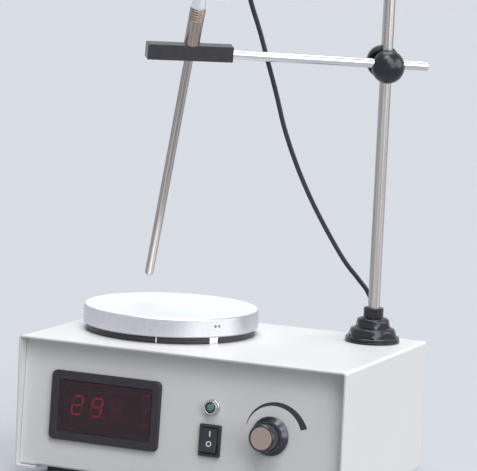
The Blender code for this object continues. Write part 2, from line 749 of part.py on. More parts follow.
def make_sensor_connection():
    spot = (SOCKET_PLACE[0], 0, SOCKET_PLACE[1])
    socket = [
        (0, -0.012),
        (SOCKET_BODY_RADIUS, -0.012),
        (SOCKET_BODY_RADIUS, GAP),
        (0.0100, GAP),
        (0.0100, 0.0014),
        (0.0092, 0.0020),
        (0.0068, 0.0020),
        (0.0068, 0.0060),
        (0.0058, 0.0060),
        (0.0058, -0.0060),
        (0, -0.0060),
    ]
    place("sensor_socket", turned("sensor_socket", socket, 28), STEEL, spot, FACING_BACK, rear)
    end = PLUG_LENGTH
    plug = [
        (0, -0.0056),
        (0.0054, -0.0056),
        (0.0054, 0.0064),
        (0.0078, 0.0064),
        (0.0082, 0.0070),
        (0.0082, 0.0130),
        (0.0076, 0.0136),
        (0.0064, 0.0138),
        (0.0064, 0.0190),
        (0.0052, 0.0200),
        (0.0030, end),
        (0, end),
    ]
    place("sensor_plug", turned("sensor_plug", plug, 28), STEEL, spot, FACING_BACK, rear)


# Rod foot: two domed hexagonal tiers and a collar on a ridged flange, moulded in one

FOOT_STEPS = 48
FLANGE_RADIUS = 0.0187
LOWER_CORNER = 0.0173
UPPER_CORNER = 0.0123
COLLAR_RADIUS = 0.0068


def hexagon_within(corner, rounding, height):
    """One level of a tier: a hexagon whose corners are cut back to the rounding circle."""
    flat = corner * math.cos(math.pi / 6)
    points = []
    for i in range(FOOT_STEPS):
        a = 2 * math.pi * i / FOOT_STEPS
        from_flat = (a % (math.pi / 3)) - math.pi / 6
        r = min(rounding, flat / math.cos(from_flat))
        points.append((r * math.cos(a), r * math.sin(a), height))
    return points


def tier(low, high, corner, ledge, steps=6):
    """Levels of one domed tier from its lower rim to the ledge above it."""
    levels = []
    for i in range(steps + 1):
        a = QUARTER * i / steps
        rounding = ledge + (corner - ledge) * math.cos(a)
        levels.append(hexagon_within(corner, rounding, low + (high - low) * math.sin(a)))
    return levels


def make_rod_foot():
    base = CASE_TOP + GAP
    bore = ROD_DIAMETER / 2 + GAP
    flange_top = CASE_TOP + 0.0038
    ledge = CASE_TOP + 0.0096
    collar_low = CASE_TOP + 0.0166
    collar_high = CASE_TOP + 0.0234
    floor = CASE_TOP + 0.0060
    ridge = [
        (FLANGE_RADIUS, base),
        (FLANGE_RADIUS, base + 0.0013),
        (FLANGE_RADIUS - 0.0006, base + 0.0017),
        (FLANGE_RADIUS - 0.0003, base + 0.0021),
        (FLANGE_RADIUS - 0.0003, flange_top - 0.0004),
        (FLANGE_RADIUS - 0.0008, flange_top),
    ]
    collar = [
        (COLLAR_RADIUS, collar_low + 0.0001),
        (COLLAR_RADIUS, collar_high - 0.0004),
        (COLLAR_RADIUS - 0.0004, collar_high),
        (bore, collar_high),
        (bore, floor),
        (0, floor),
    ]
    rings = [circle(0, base, FOOT_STEPS)]
    rings += [circle(r, z, FOOT_STEPS) for r, z in ridge]
    rings += tier(flange_top + 0.0001, ledge, LOWER_CORNER, UPPER_CORNER + 0.0008)
    rings += tier(ledge + 0.0001, collar_low, UPPER_CORNER, COLLAR_RADIUS + 0.0006)
    rings += [circle(r, z, FOOT_STEPS) for r, z in collar]
    place("rod_foot", through_rings("rod_foot", rings), BLACK_PLASTIC, parent=stand)


def rod_profile(radius, low, high, chamfer=0.0006):
    side = [(radius, low + chamfer), (radius, high - chamfer)]
    return [(0, low), (radius - chamfer, low), *side, (radius - chamfer, high), (0, high)]


def make_support_rod():
    low = CASE_TOP + 0.0060 + GAP
    rod = turned("support_rod", rod_profile(ROD_DIAMETER / 2, low, ROD_TOP), 32)
    place("support_rod", rod, ROD_STEEL, parent=stand)


# Boss: two domed halves that one screw squeezes on the crossing rods. The rods pass
# beside the screw, so neither half is centred on its rod.

BOSS_RADIUS = 0.0113
BOSS_HEIGHT = ARM_HEIGHT
ARM_OFFSET = 0.0078
REAR_FACE_OUT = 0.0012
FRONT_FACE_OUT = -0.0015
REAR_HALF_PLACE = (-0.0023, 0.0011)
FRONT_HALF_PLACE = (-0.0012, -0.0019)
BOSS_SCREW_PLACE = (-0.0059, -0.0052)
SCREW_RADIUS = 0.0015

boss = frame("boss_frame", (0, 0, BOSS_HEIGHT), (0, 0, ARM_AZIMUTH), stand)
arm = frame("arm_frame", (0, -ARM_OFFSET, 0), (0, ARM_DROOP, 0), boss)


def half_boss(depth):
    """A domed half, its flat face at zero and its pole at depth."""
    lip = 0.0010
    rounded = [(r, z) for r, z in dome(BOSS_RADIUS, lip + 0.0015, depth, 6)]
    return [(0, 0), (BOSS_RADIUS - 0.0006, 0), (BOSS_RADIUS, lip)] + rounded


def make_boss_halves():
    x, z = REAR_HALF_PLACE
    rear_mesh = turned("boss_rear_half", half_boss(0.0122), 36)
    rear_half = place("boss_rear_half", rear_mesh, BLACK_PLASTIC, (x, -REAR_FACE_OUT, z), FACING_BACK, boss)
    rod_room = pin("rod_room", ROD_DIAMETER / 2 + GAP, -0.03, 0.03, 32)
    shape(rear_half, place("rod_groove", rod_room, None, parent=boss))
    x, z = FRONT_HALF_PLACE
    front_mesh = turned("boss_front_half", half_boss(0.0112), 36)
    front_spot = (x, -FRONT_FACE_OUT, z)
    front_half = place("boss_front_half", front_mesh, BLACK_PLASTIC, front_spot, FACING_FRONT, arm)
    arm_room = pin("arm_room", ARM_DIAMETER / 2 + GAP, -0.03, 0.03)
    shape(front_half, place("arm_groove", arm_room, None, (0, 0, 0), (0, QUARTER, 0), arm))
    return rear_half, front_half


def make_boss():
    rear_half, front_half = make_boss_halves()
    x, z = BOSS_SCREW_PLACE
    head_low = -0.0040
    tip = ARM_OFFSET + 0.0030
    shank = [
        (0, head_low - 0.0018),
        (0.0026, head_low - 0.0018),
        (0.0026, head_low),
        (SCREW_RADIUS, head_low),
        (SCREW_RADIUS, tip),
        (0, tip),
    ]
    place("boss_screw", turned("boss_screw", shank, 16), STEEL, (x, 0, z), FACING_FRONT, boss)
    room = [
        (0, -0.020),
        (0.0030, -0.020),
        (0.0030, head_low + GAP),
        (SCREW_RADIUS + GAP, head_low + GAP),
        (SCREW_RADIUS + GAP, 0.008),
        (0, 0.008),
    ]
    shape(rear_half, place("screw_way", turned("screw_way", room, 16), None, (x, 0, z), FACING_FRONT, boss))
    deep = pin("screw_end", SCREW_RADIUS + 0.0009, 0.002, tip + GAP, 16)
    shape(front_half, place("screw_end", deep, None, (x, 0, z), FACING_FRONT, boss))


# Arm, holder and probe

ARM_RIGHT = 0.0267
HOLDER_RIGHT = -0.1093
HOLDER_LENGTH = 0.0578
HOLDER_HEIGHT = 0.0105
HOLDER_DEPTH = 0.0095
HOLDER_RISE = 0.0015
ARM_GRIP = 0.016
PROBE_PLACE = -0.1378
PROBE_TIP = -0.1703
HANDLE_LOW = HOLDER_RISE + HOLDER_HEIGHT / 2 + GAP
HANDLE_HIGH = HANDLE_LOW + 0.0275
COLLAR_HIGH = HANDLE_HIGH + GAP + 0.0140
RELIEF_HIGH = COLLAR_HIGH + GAP + 0.0220

holder = frame("holder_frame", (0, 0, 0), (PROBE_ROLL, 0, 0), arm)
probe = frame("probe_frame", (PROBE_PLACE, 0, 0), (0, PROBE_LEAN, 0), holder)


def make_arm():
    left = HOLDER_RIGHT - ARM_GRIP + GAP
    rod = turned("arm_rod", rod_profile(ARM_DIAMETER / 2, left, ARM_RIGHT, 0.0004), 28)
    place("arm_rod", rod, CHROME, (0, 0, 0), (0, QUARTER, 0), arm)


def make_holder():
    middle = HOLDER_RIGHT - HOLDER_LENGTH / 2
    body = extruded(
        "probe_holder",
        [rectangle(HOLDER_LENGTH, HOLDER_DEPTH, (middle, 0))],
        HOLDER_RISE - HOLDER_HEIGHT / 2,
        HOLDER_RISE + HOLDER_HEIGHT / 2,
        "Z",
    )
    bar = soften(place("probe_holder", body, BLACK_PLASTIC, parent=holder), 0.0005)
    grip = ARM_DIAMETER / 2 + GAP
    socket = pin("socket", grip, HOLDER_RIGHT - ARM_GRIP, 0)
    shape(bar, place("arm_socket", socket, None, (0, 0, 0), (0, QUARTER, 0), holder))
    stem = STEM_DIAMETER / 2 + GAP
    passage = pin("passage", stem, -0.02, 0.02, 24)
    shape(bar, place("stem_passage", passage, None, parent=probe))


def make_probe():
    stem_radius = STEM_DIAMETER / 2
    stem_high = HANDLE_LOW + 0.0098
    tip = [(0, PROBE_TIP)] + [
        (stem_radius * math.sin(QUARTER * i / 3), PROBE_TIP + stem_radius * (1 - math.cos(QUARTER * i / 3)))
        for i in (1, 2, 3)
    ]
    stem = turned("probe_stem", tip + [(stem_radius, stem_high), (0, stem_high)], 24)
    place("probe_stem", stem, PROBE_STEEL, parent=probe)
    bore = stem_radius + GAP
    radius = 0.0052
    handle = [(0, HANDLE_LOW + 0.0101), (bore, HANDLE_LOW + 0.0101), (bore, HANDLE_LOW)]
    handle += [(radius - 0.0005, HANDLE_LOW), (radius, HANDLE_LOW + 0.0006)]
    ring_low = HANDLE_HIGH - 0.0095
    for i in range(4):
        z = ring_low + 0.0023 * i
        groove = radius - 0.0006
        handle += [(radius, z), (groove, z + 0.0005), (groove, z + 0.0011), (radius + 0.0003, z + 0.0016)]
    handle += [(radius, HANDLE_HIGH - 0.0005), (radius - 0.0005, HANDLE_HIGH), (0, HANDLE_HIGH)]
    place("probe_handle", turned("probe_handle", handle, 28), SATIN_NICKEL, parent=probe)
    low = HANDLE_HIGH + GAP
    collar = [
        (0, low),
        (0.0044, low),
        (0.0050, low + 0.0010),
        (0.0048, low + 0.0030),
        (0.0032, COLLAR_HIGH - 0.0020),
        (0.0031, COLLAR_HIGH),
        (0, COLLAR_HIGH),
    ]
    place("probe_collar", turned("probe_collar", collar, 28), CHROME, parent=probe)
    low = COLLAR_HIGH + GAP
    relief = [(0, low), (0.0030, low), (0.0030, low + 0.004), (0.0023, RELIEF_HIGH), (0, RELIEF_HIGH)]
    place("probe_strain_relief", turned("probe_strain_relief", relief, 24), RUBBER, parent=probe)


# Sensor cord: one lead from the probe over the arm, down behind the rod to the socket

CORD_STEP = 0.0094
CORD_ROUTE = [
    (0.0036, -0.0595, 0.3745),
    (0.0062, -0.0585, 0.3875),
    (0.0078, -0.0515, 0.3965),
    (0.0084, -0.0420, 0.3965),
    (0.0084, -0.0330, 0.3870),
    (0.0084, -0.0255, 0.3700),
    (0.0090, -0.0180, 0.3490),
    (0.0110, -0.0092, 0.3280),
    (0.0150, -0.0008, 0.3080),
    (0.0188, 0.0062, 0.2880),
    (0.0229, 0.0139, 0.2660),
    (0.0270, 0.0210, 0.2430),
    (0.0325, 0.0300, 0.2200),
    (0.0396, 0.0402, 0.1970),
    (0.0481, 0.0524, 0.1739),
    (0.0575, 0.0665, 0.1510),
    (0.0645, 0.0775, 0.1375),
    (0.0690, 0.0862, 0.1275),
    (0.0721, 0.0918, 0.1149),
    (0.0738, 0.0935, 0.0980),
    (0.0742, 0.0940, 0.0700),
    (0.0745, 0.0950, 0.0360),
    (0.0750, 0.0985, 0.0150),
    (0.0755, 0.1080, 0.0035),
    (0.0740, 0.1210, 0.0019),
    (0.0640, 0.1350, 0.0019),
    (0.0450, 0.1400, 0.0019),
    (0.0270, 0.1340, 0.0019),
    (0.0190, 0.1210, 0.0030),
    (0.0240, 0.1130, 0.0120),
    (0.0340, 0.1150, 0.0260),
    (0.0425, 0.1155, 0.0385),
    (0.0449, 0.1095, 0.0455),
    (0.0450, 0.1050, 0.0460),
]
CORD_BREAKS = (0.115, 0.185, 0.235, 0.322)


def smooth_curve(points):
    """Close points along a smooth curve through the given ones."""
    padded = [points[0], *points, points[-1]]
    curve = []
    for before, start, end, after in zip(padded, padded[1:], padded[2:], padded[3:]):
        count = max(2, round((end - start).length / 0.0005))
        for i in range(count):
            t = i / count
            bend = 2 * before - 5 * start + 4 * end - after
            twist = 3 * start - before - 3 * end + after
            curve.append(start + (end - before) * t / 2 + bend * t * t / 2 + twist * t ** 3 / 2)
    return curve + [points[-1]]


def stretch_of(curve, start, end, step):
    """Points of the curve between two lengths along it, about a step apart."""
    lengths = [0.0]
    for a, b in zip(curve, curve[1:]):
        lengths.append(lengths[-1] + (b - a).length)
    end = min(end, lengths[-1])
    count = max(2, round((end - start) / step))
    found = []
    i = 0
    for k in range(count + 1):
        wanted = start + (end - start) * k / count
        while i < len(lengths) - 2 and lengths[i + 1] < wanted:
            i += 1
        share = (wanted - lengths[i]) / (lengths[i + 1] - lengths[i])
        found.append(curve[i].lerp(curve[i + 1], min(1, max(0, share))))
    return found


def make_cord():
    bpy.context.view_layer.update()
    tail = probe.matrix_world @ Vector((0, 0, RELIEF_HIGH + GAP))
    plug = Vector((SOCKET_PLACE[0], REAR_FACE + PLUG_LENGTH + GAP, SOCKET_PLACE[1]))
    curve = smooth_curve([tail, *[Vector(point) for point in CORD_ROUTE], plug])
    starts = (0, *CORD_BREAKS)
    ends = (*CORD_BREAKS, 10)
    for i, (start, end) in enumerate(zip(starts, ends)):
        first = start + (GAP if i else 0)
        lead = bpy.data.curves.new(f"sensor_cord_{i + 1}", "CURVE")
        lead.dimensions = "3D"
        lead.bevel_depth = CORD_DIAMETER / 2
        lead.bevel_resolution = 2
        lead.use_fill_caps = True
        points = stretch_of(curve, first, end, CORD_STEP)
        spline = lead.splines.new("POLY")
        spline.points.add(len(points) - 1)
        for target, point in zip(spline.points, points):
            target.co = (*point, 1)
        lead.materials.append(DARK_CABLE)
        obj = bpy.data.objects.new(lead.name, lead)
        bpy.context.collection.objects.link(obj)


for make in (
    make_cover,
    make_chassis,
    make_feet,
    make_cover_screws,
    make_hot_plate,
    make_plate_filling,
    make_plate_supports,
    make_drive,
    make_electrics,
    make_display,
    make_lamp,
    make_switch,
    make_rocker,
    make_speed_control,
    make_mains_inlet,
    make_fuse_holder,
    make_sensor_connection,
    make_rod_foot,
    make_support_rod,
    make_boss,
    make_arm,
    make_holder,
    make_probe,
    make_cord,
):
    make()
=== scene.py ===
"""Heated magnetic stirrer: a sheet-metal case with a heated plate, a panel of controls, and a
rod that holds a temperature probe over the plate. The pieces follow one another as the
instrument is put together. Metres, +Z up; the origin is on the bench under the case's centre.
"""

import math

import bmesh
import bpy
from mathutils import Matrix, Vector
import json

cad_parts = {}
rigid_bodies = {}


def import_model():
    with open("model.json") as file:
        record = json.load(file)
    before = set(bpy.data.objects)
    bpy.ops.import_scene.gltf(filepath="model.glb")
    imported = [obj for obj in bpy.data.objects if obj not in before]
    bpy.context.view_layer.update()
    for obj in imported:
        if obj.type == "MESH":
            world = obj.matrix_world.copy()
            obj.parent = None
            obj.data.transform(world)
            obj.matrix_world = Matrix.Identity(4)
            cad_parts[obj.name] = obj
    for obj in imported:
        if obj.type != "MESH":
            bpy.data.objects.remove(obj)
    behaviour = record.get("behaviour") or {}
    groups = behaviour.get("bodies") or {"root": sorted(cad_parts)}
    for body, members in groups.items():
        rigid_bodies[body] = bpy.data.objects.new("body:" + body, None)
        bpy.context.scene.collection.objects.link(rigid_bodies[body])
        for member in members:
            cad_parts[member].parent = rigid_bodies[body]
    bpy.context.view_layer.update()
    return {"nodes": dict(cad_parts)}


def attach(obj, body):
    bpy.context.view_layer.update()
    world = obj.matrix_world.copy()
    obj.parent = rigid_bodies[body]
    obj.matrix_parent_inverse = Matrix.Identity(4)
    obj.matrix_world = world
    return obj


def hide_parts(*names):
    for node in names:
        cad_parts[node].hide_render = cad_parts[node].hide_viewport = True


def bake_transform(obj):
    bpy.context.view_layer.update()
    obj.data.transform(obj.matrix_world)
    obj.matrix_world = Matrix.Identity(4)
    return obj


for old in list(bpy.data.objects):
    bpy.data.objects.remove(old, do_unlink=True)

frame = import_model()
scene = bpy.context.scene

# Camera: it stands far off and a little above the plate, to the right of the front
camera = bpy.data.objects.new("camera", bpy.data.cameras.new("camera"))
scene.collection.objects.link(camera)
camera.location = (0.685865, -1.604943, 0.384573)
camera.rotation_euler = (1.448081, -0.044657, 0.406251)
camera.data.lens = 196.78
camera.data.sensor_width = 36
camera.data.clip_start = 0.01
camera.data.clip_end = 50
scene.camera = camera
scene.view_settings.view_transform = "Standard"


# Chassis: one bent steel sheet makes the leaning front panel, the floor and the back.
# Its openings are punched before it is bent, and it is sprayed with an off-white enamel.

QUARTER = math.pi / 2
SHEET = 0.0012
BEND = 0.0020
CASE_LOW, CASE_TOP = 0.010, 0.099
CASE_FRONT, CASE_BACK = -0.0775, 0.0775
PANEL_FOOT = -0.0739
PANEL_LEAN = math.atan2(0.0060, 0.0890)
REAR_FACE = 0.0760
CHASSIS_LOW, CHASSIS_TOP = 0.0115, 0.0975
CHASSIS_HALF = 0.1155
CHASSIS_FLANGE = 0.010
SCREW_HOLE = 0.0018


def moved(x, y, z):
    return Matrix.Translation((x, y, z))


def spun(degrees, axis="Z"):
    return Matrix.Rotation(math.radians(degrees), 4, axis)


panel = moved(0, PANEL_FOOT, CASE_LOW) @ Matrix.Rotation(-PANEL_LEAN, 4, "X")
rear = moved(0, REAR_FACE, 0)


def filleted(points, radius, steps=6):
    """An open path whose corners are arcs; the radius is one value or one for each corner."""
    path = [Vector(points[0])]
    for k in range(1, len(points) - 1):
        corner = Vector(points[k])
        back = Vector(points[k - 1]) - corner
        onward = Vector(points[k + 1]) - corner
        size = radius[k - 1] if isinstance(radius, (list, tuple)) else radius
        half = back.angle(onward) / 2
        if size == 0 or half > QUARTER - 0.01:
            path.append(corner)
            continue
        reach = min(size / math.tan(half), 0.48 * back.length, 0.48 * onward.length)
        size = reach * math.tan(half)
        to_start = back.normalized()
        to_end = onward.normalized()
        middle = corner + (to_start + to_end).normalized() * size / math.sin(half)
        first = corner + to_start * reach - middle
        last = corner + to_end * reach - middle
        sweep = first.angle(last)
        for i in range(steps + 1):
            near = math.sin((1 - i / steps) * sweep) / math.sin(sweep)
            far = math.sin(i / steps * sweep) / math.sin(sweep)
            path.append(middle + first * near + last * far)
    return path + [Vector(points[-1])]


def sheet_section(points):
    """The closed section of a bent sheet whose outer face follows points."""
    outer = filleted(points, BEND, 8)
    inner = []
    for i, point in enumerate(outer):
        ways = []
        if i > 0:
            ways.append((point - outer[i - 1]).normalized())
        if i < len(outer) - 1:
            ways.append((outer[i + 1] - point).normalized())
        way = sum(ways, Vector((0, 0))).normalized()
        left = Vector((-way.y, way.x))
        inner.append(point + left * SHEET / max(0.2, way.dot(ways[0])))
    return outer + inner[::-1]


def rectangle(width, height, centre=(0, 0), radius=0.0, steps=5):
    """A rectangle's outline, with rounded corners if it has a radius."""
    x, y = centre
    w, h = width / 2 - radius, height / 2 - radius
    corners = ((x - w, y - h), (x + w, y - h), (x + w, y + h), (x - w, y + h))
    outline = []
    for k, (cx, cy) in enumerate(corners):
        for i in range(steps + 1 if radius else 1):
            a = math.pi + QUARTER * (k + i / steps)
            outline.append((cx + radius * math.cos(a), cy + radius * math.sin(a)))
    return outline


def disc(radius, centre=(0, 0), steps=32):
    turns = [2 * math.pi * i / steps for i in range(steps)]
    return [(centre[0] + radius * math.cos(a), centre[1] + radius * math.sin(a)) for a in turns]


def mesh_of(bm):
    bmesh.ops.recalc_face_normals(bm, faces=bm.faces)
    mesh = bpy.data.meshes.new("mesh")
    bm.to_mesh(mesh)
    bm.free()
    return mesh


def prism(outlines, low, high, axis="Z", placing=None):
    """Flat outlines carried along an axis; their coordinates are the other two axes in order."""
    at = "XYZ".index(axis)
    bm = bmesh.new()
    for outline in outlines:
        near, far = [
            [bm.verts.new((*point[:at], level, *point[at:])) for point in outline]
            for level in (low, high)
        ]
        bm.faces.new(near)
        bm.faces.new(far[::-1])
        for i in range(len(near)):
            j = (i + 1) % len(near)
            bm.faces.new((near[i], far[i], far[j], near[j]))
    mesh = mesh_of(bm)
    mesh.transform(placing or Matrix())
    return mesh


def stood(name, mesh, *finishes, placing=None):
    """An object at the origin whose mesh holds its place."""
    mesh.transform(placing or Matrix())
    mesh.materials.clear()
    for one in finishes:
        mesh.materials.append(one)
    obj = bpy.data.objects.new(name, mesh)
    scene.collection.objects.link(obj)
    return obj


def settled(obj):
    """The same object with its modifiers worked into a plain mesh."""
    bpy.context.view_layer.update()
    seen = obj.evaluated_get(bpy.context.evaluated_depsgraph_get())
    mesh = bpy.data.meshes.new_from_object(seen)
    mesh.name = obj.name
    obj.modifiers.clear()
    obj.data = mesh
    return obj


def combine(obj, others, operation="DIFFERENCE"):
    """Cuts guide bodies out of an object, or joins them to it."""
    guides = [stood(f"{obj.name}_guide", mesh) for mesh in others]
    for guide in guides:
        joint = obj.modifiers.new(guide.name, "BOOLEAN")
        joint.object = guide
        joint.operation = operation
        joint.solver = "EXACT"
    settled(obj)
    for guide in guides:
        bpy.data.objects.remove(guide, do_unlink=True)
    return obj


def mesh_alone(obj):
    mesh = obj.data.copy()
    bpy.data.objects.remove(obj, do_unlink=True)
    return mesh


def smoothed(obj, crease=32, bevel=0.0, segments=2, bevel_over=50):
    """Soft shading between sharp edges, and rounded edges where it has a bevel."""
    if bevel:
        edge = obj.modifiers.new("edge", "BEVEL")
        edge.width = bevel
        edge.segments = segments
        edge.limit_method = "ANGLE"
        edge.angle_limit = math.radians(bevel_over)
        edge.miter_outer = "MITER_ARC"
        settled(obj)
    obj.data.shade_smooth()
    obj.data.set_sharp_from_angle(angle=math.radians(crease))
    even = obj.modifiers.new("even", "WEIGHTED_NORMAL")
    even.keep_sharp = True
    even.weight = 80
    return settled(obj)


def fitted(obj, body, slot, *nodes):
    """The piece rides on a body and stands for CAD nodes, which it hides; its slot is not used."""
    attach(obj, body)
    if nodes:
        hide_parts(*nodes)


def added(tree, kind, inputs=(), **settings):
    """A new node; its inputs are given as plain values or as other nodes' outputs."""
    made = tree.nodes.new(kind)
    for key, value in settings.items():
        setattr(made, key, value)
    for key, value in dict(inputs).items():
        if isinstance(value, bpy.types.NodeSocket):
            tree.links.new(value, made.inputs[key])
        else:
            made.inputs[key].default_value = value
    return made


def arithmetic(tree, operation, *values):
    """One step of arithmetic on sockets or numbers."""
    return added(tree, "ShaderNodeMath", enumerate(values), operation=operation).outputs[0]


def node_group(name, **kinds):
    """A tree of geometry nodes with named inputs, what they give, and their sockets."""
    tree = bpy.data.node_groups.new(name, "GeometryNodeTree")
    new_socket = tree.interface.new_socket
    new_socket("Geometry", in_out="OUTPUT", socket_type="NodeSocketGeometry")
    sockets = {
        key: new_socket(key, in_out="INPUT", socket_type=f"NodeSocket{kind}")
        for key, kind in kinds.items()
    }
    return tree, tree.nodes.new("NodeGroupInput").outputs, sockets


def grown(obj, tree, sockets, copies, made, **values):
    """The tree ends in real copies with their finish, and is worked into the object's mesh."""
    real = added(tree, "GeometryNodeRealizeInstances", {"Geometry": copies})
    ends = {"Geometry": real.outputs["Geometry"], "Material": made}
    paint = added(tree, "GeometryNodeSetMaterial", ends)
    added(tree, "NodeGroupOutput", {"Geometry": paint.outputs["Geometry"]})
    grow = obj.modifiers.new("grow", "NODES")
    grow.node_group = tree
    for key, value in values.items():
        grow[sockets[key].identifier] = value
    return settled(obj)


def finish(name, colour, roughness, metallic=0.0, sockets=()):
    """A new finish, with its constant values on the shader's own sockets."""
    made = bpy.data.materials.new(name)
    made.use_nodes = True
    shader = made.node_tree.nodes["Principled BSDF"]
    values = {"Base Color": (*colour, 1), "Roughness": roughness, "Metallic": metallic}
    for socket, value in {**values, **dict(sockets)}.items():
        shader.inputs[socket].default_value = value
    return made


def feed(tree, value, socket):
    tree.links.new(value, tree.nodes["Principled BSDF"].inputs[socket])


def local_place(tree, placing=None, stretch=(1, 1, 1)):
    """The vector of a piece's own place, turned back to where it was made."""
    placing = placing or Matrix()
    place = added(tree, "ShaderNodeTexCoord").outputs["Object"]
    return added(tree, "ShaderNodeMapping", {
        "Vector": place,
        "Scale": stretch,
        "Location": placing.translation,
        "Rotation": placing.to_euler(),
    }, vector_type="TEXTURE").outputs["Vector"]


def raised(tree, height, distance):
    """A bump of that height, on top of the bumps that the shader already has."""
    bump = added(tree, "ShaderNodeBump", {"Distance": distance, "Height": height})
    for link in list(tree.nodes["Principled BSDF"].inputs["Normal"].links):
        tree.links.new(link.from_socket, bump.inputs["Normal"])
    feed(tree, bump.outputs["Normal"], "Normal")


def spread(tree, value, low, high):
    """The middle of a noise's values brought into another range."""
    return added(tree, "ShaderNodeMapRange", {
        "Value": value, "From Min": 0.3, "From Max": 0.7, "To Min": low, "To Max": high,
    }).outputs["Result"]


def two_tone(tree, share, first, second):
    """The finish's colour goes from the first to the second with the share."""
    tones = {"Factor": share, "A": (*first, 1), "B": (*second, 1)}
    mix = added(tree, "ShaderNodeMix", tones, data_type="RGBA")
    feed(tree, mix.outputs["Result"], "Base Color")


def grained(
    made, size, tints=None, rough=None, bump=0.0, stretch=(1, 1, 1), placing=None, detail=3
):
    """One layer of noise on a finish: in its colour, its roughness and its relief."""
    tree = made.node_tree
    place = local_place(tree, placing, stretch)
    settings = {"Scale": 1 / size, "Detail": detail, "Vector": place}
    noise = added(tree, "ShaderNodeTexNoise", settings).outputs["Fac"]
    if tints:
        two_tone(tree, spread(tree, noise, 0, 1), *tints)
    if rough:
        feed(tree, spread(tree, noise, *rough), "Roughness")
    if bump:
        raised(tree, noise, bump)


enamel = finish("cream_paint", (0.80, 0.805, 0.815), 0.42)
grained(enamel, 0.045, ((0.79, 0.795, 0.805), (0.815, 0.82, 0.83)), (0.38, 0.46))
grained(enamel, 0.0011, bump=0.000012)

DISPLAY_PLACE = (-0.0539, 0.0446)
LAMP_PLACE = (0.0230, 0.0555)
SWITCH_PLACE = (0.0230, 0.0336)
KNOB_PLACE = (0.0649, 0.0414)
INLET_PLACE = (-0.070, 0.046)
FUSE_PLACE = (-0.030, 0.046)
SOCKET_PLACE = (0.045, 0.046)
SCREW_PLACES = [(0.1095 * sx, 0.052 * sy) for sx in (-1, 1) for sy in (-1, 1)]


def vent_slots(count, pitch, width, height):
    """Upright slots with rounded ends in a row along X, by geometry nodes."""
    tree, given, sockets = node_group(
        "vent_slots", Count="Int", Pitch="Float", Width="Float", Height="Float"
    )
    step = added(tree, "ShaderNodeCombineXYZ", {"X": given["Pitch"]}).outputs["Vector"]
    line = added(tree, "GeometryNodeMeshLine", {"Count": given["Count"], "Offset": step})
    radius = arithmetic(tree, "MULTIPLY", given["Width"], 0.5)
    drum = {"Vertices": 24, "Depth": 0.008, "Radius": radius}
    slot = added(tree, "GeometryNodeMeshCylinder", drum).outputs["Mesh"]
    upright = added(
        tree, "GeometryNodeTransform", {"Geometry": slot, "Rotation": (QUARTER, 0, 0)}
    ).outputs["Geometry"]
    straight = arithmetic(tree, "SUBTRACT", given["Height"], given["Width"])
    half = arithmetic(tree, "MULTIPLY", straight, 0.5)
    place = added(tree, "GeometryNodeInputPosition").outputs["Position"]
    level = added(tree, "ShaderNodeSeparateXYZ", {"Vector": place}).outputs["Z"]
    lift = arithmetic(tree, "MULTIPLY", arithmetic(tree, "SIGN", level), half)
    lifted = added(tree, "ShaderNodeCombineXYZ", {"Z": lift}).outputs["Vector"]
    long = added(tree, "GeometryNodeSetPosition", {"Geometry": upright, "Offset": lifted})
    repeat = added(tree, "GeometryNodeInstanceOnPoints", {
        "Points": line.outputs["Mesh"], "Instance": long.outputs["Geometry"],
    })
    sizes = {"Count": count, "Pitch": pitch, "Width": width, "Height": height}
    row = stood("vent_slots", bpy.data.meshes.new("vent_slots"))
    grown(row, tree, sockets, repeat.outputs["Instances"], enamel, **sizes)
    return mesh_alone(row)


def make_chassis():
    top, bottom = [
        (PANEL_FOOT + (z - CASE_LOW) * math.tan(PANEL_LEAN), z) for z in (CHASSIS_TOP, CHASSIS_LOW)
    ]
    path = [
        (top[0] + CHASSIS_FLANGE, CHASSIS_TOP), top, bottom, (REAR_FACE, CHASSIS_LOW),
        (REAR_FACE, CHASSIS_TOP), (REAR_FACE - CHASSIS_FLANGE, CHASSIS_TOP),
    ]
    sheet = prism([sheet_section(path)], -CHASSIS_HALF, CHASSIS_HALF, "X")
    front_openings = [
        rectangle(0.0756, 0.0396, DISPLAY_PLACE), disc(0.0043, LAMP_PLACE),
        rectangle(0.0132, 0.0196, SWITCH_PLACE), disc(0.0048, KNOB_PLACE),
    ]
    rear_openings = [
        rectangle(0.0276, 0.0202, INLET_PLACE),
        disc(0.0065, FUSE_PLACE),
        disc(0.0081, SOCKET_PLACE),
    ]
    slots = vent_slots(5, 0.0065, 0.0030, 0.0300)
    slots.transform(moved(0.080, REAR_FACE, 0.055))
    holes = [disc(SCREW_HOLE, spot, 20) for spot in SCREW_PLACES]
    return smoothed(combine(stood("chassis_sheet", sheet, enamel), [
        prism(front_openings, -0.003, 0.004, "Y", panel),
        prism(rear_openings, -0.003, 0.002, "Y", rear),
        slots,
        prism(holes, CHASSIS_LOW - 0.002, CHASSIS_LOW + 0.004),
    ]))


fitted(make_chassis(), "stirrer", "cream_paint", "chassis")


# Rear connections: a black moulded mains inlet with three nickelled blades, a fuse holder
# with a fluted screw cap, and a round plated socket for the probe. Each sits in a punched hole.

black_plastic = finish("black_plastic", (0.021, 0.019, 0.026), 0.40)
grained(black_plastic, 0.006, ((0.019, 0.017, 0.024), (0.025, 0.023, 0.031)), (0.34, 0.46))
grained(black_plastic, 0.0004, bump=0.00001)
plated = finish("steel", (0.66, 0.66, 0.67), 0.30, 1.0)
grained(plated, 0.004, ((0.60, 0.60, 0.61), (0.70, 0.70, 0.71)), (0.22, 0.40))
grained(plated, 0.0005, bump=0.000006)


def mm(size):
    """Lengths in millimetres, alone or in lists, as metres."""
    return [mm(one) for one in size] if isinstance(size, (list, tuple)) else size / 1000


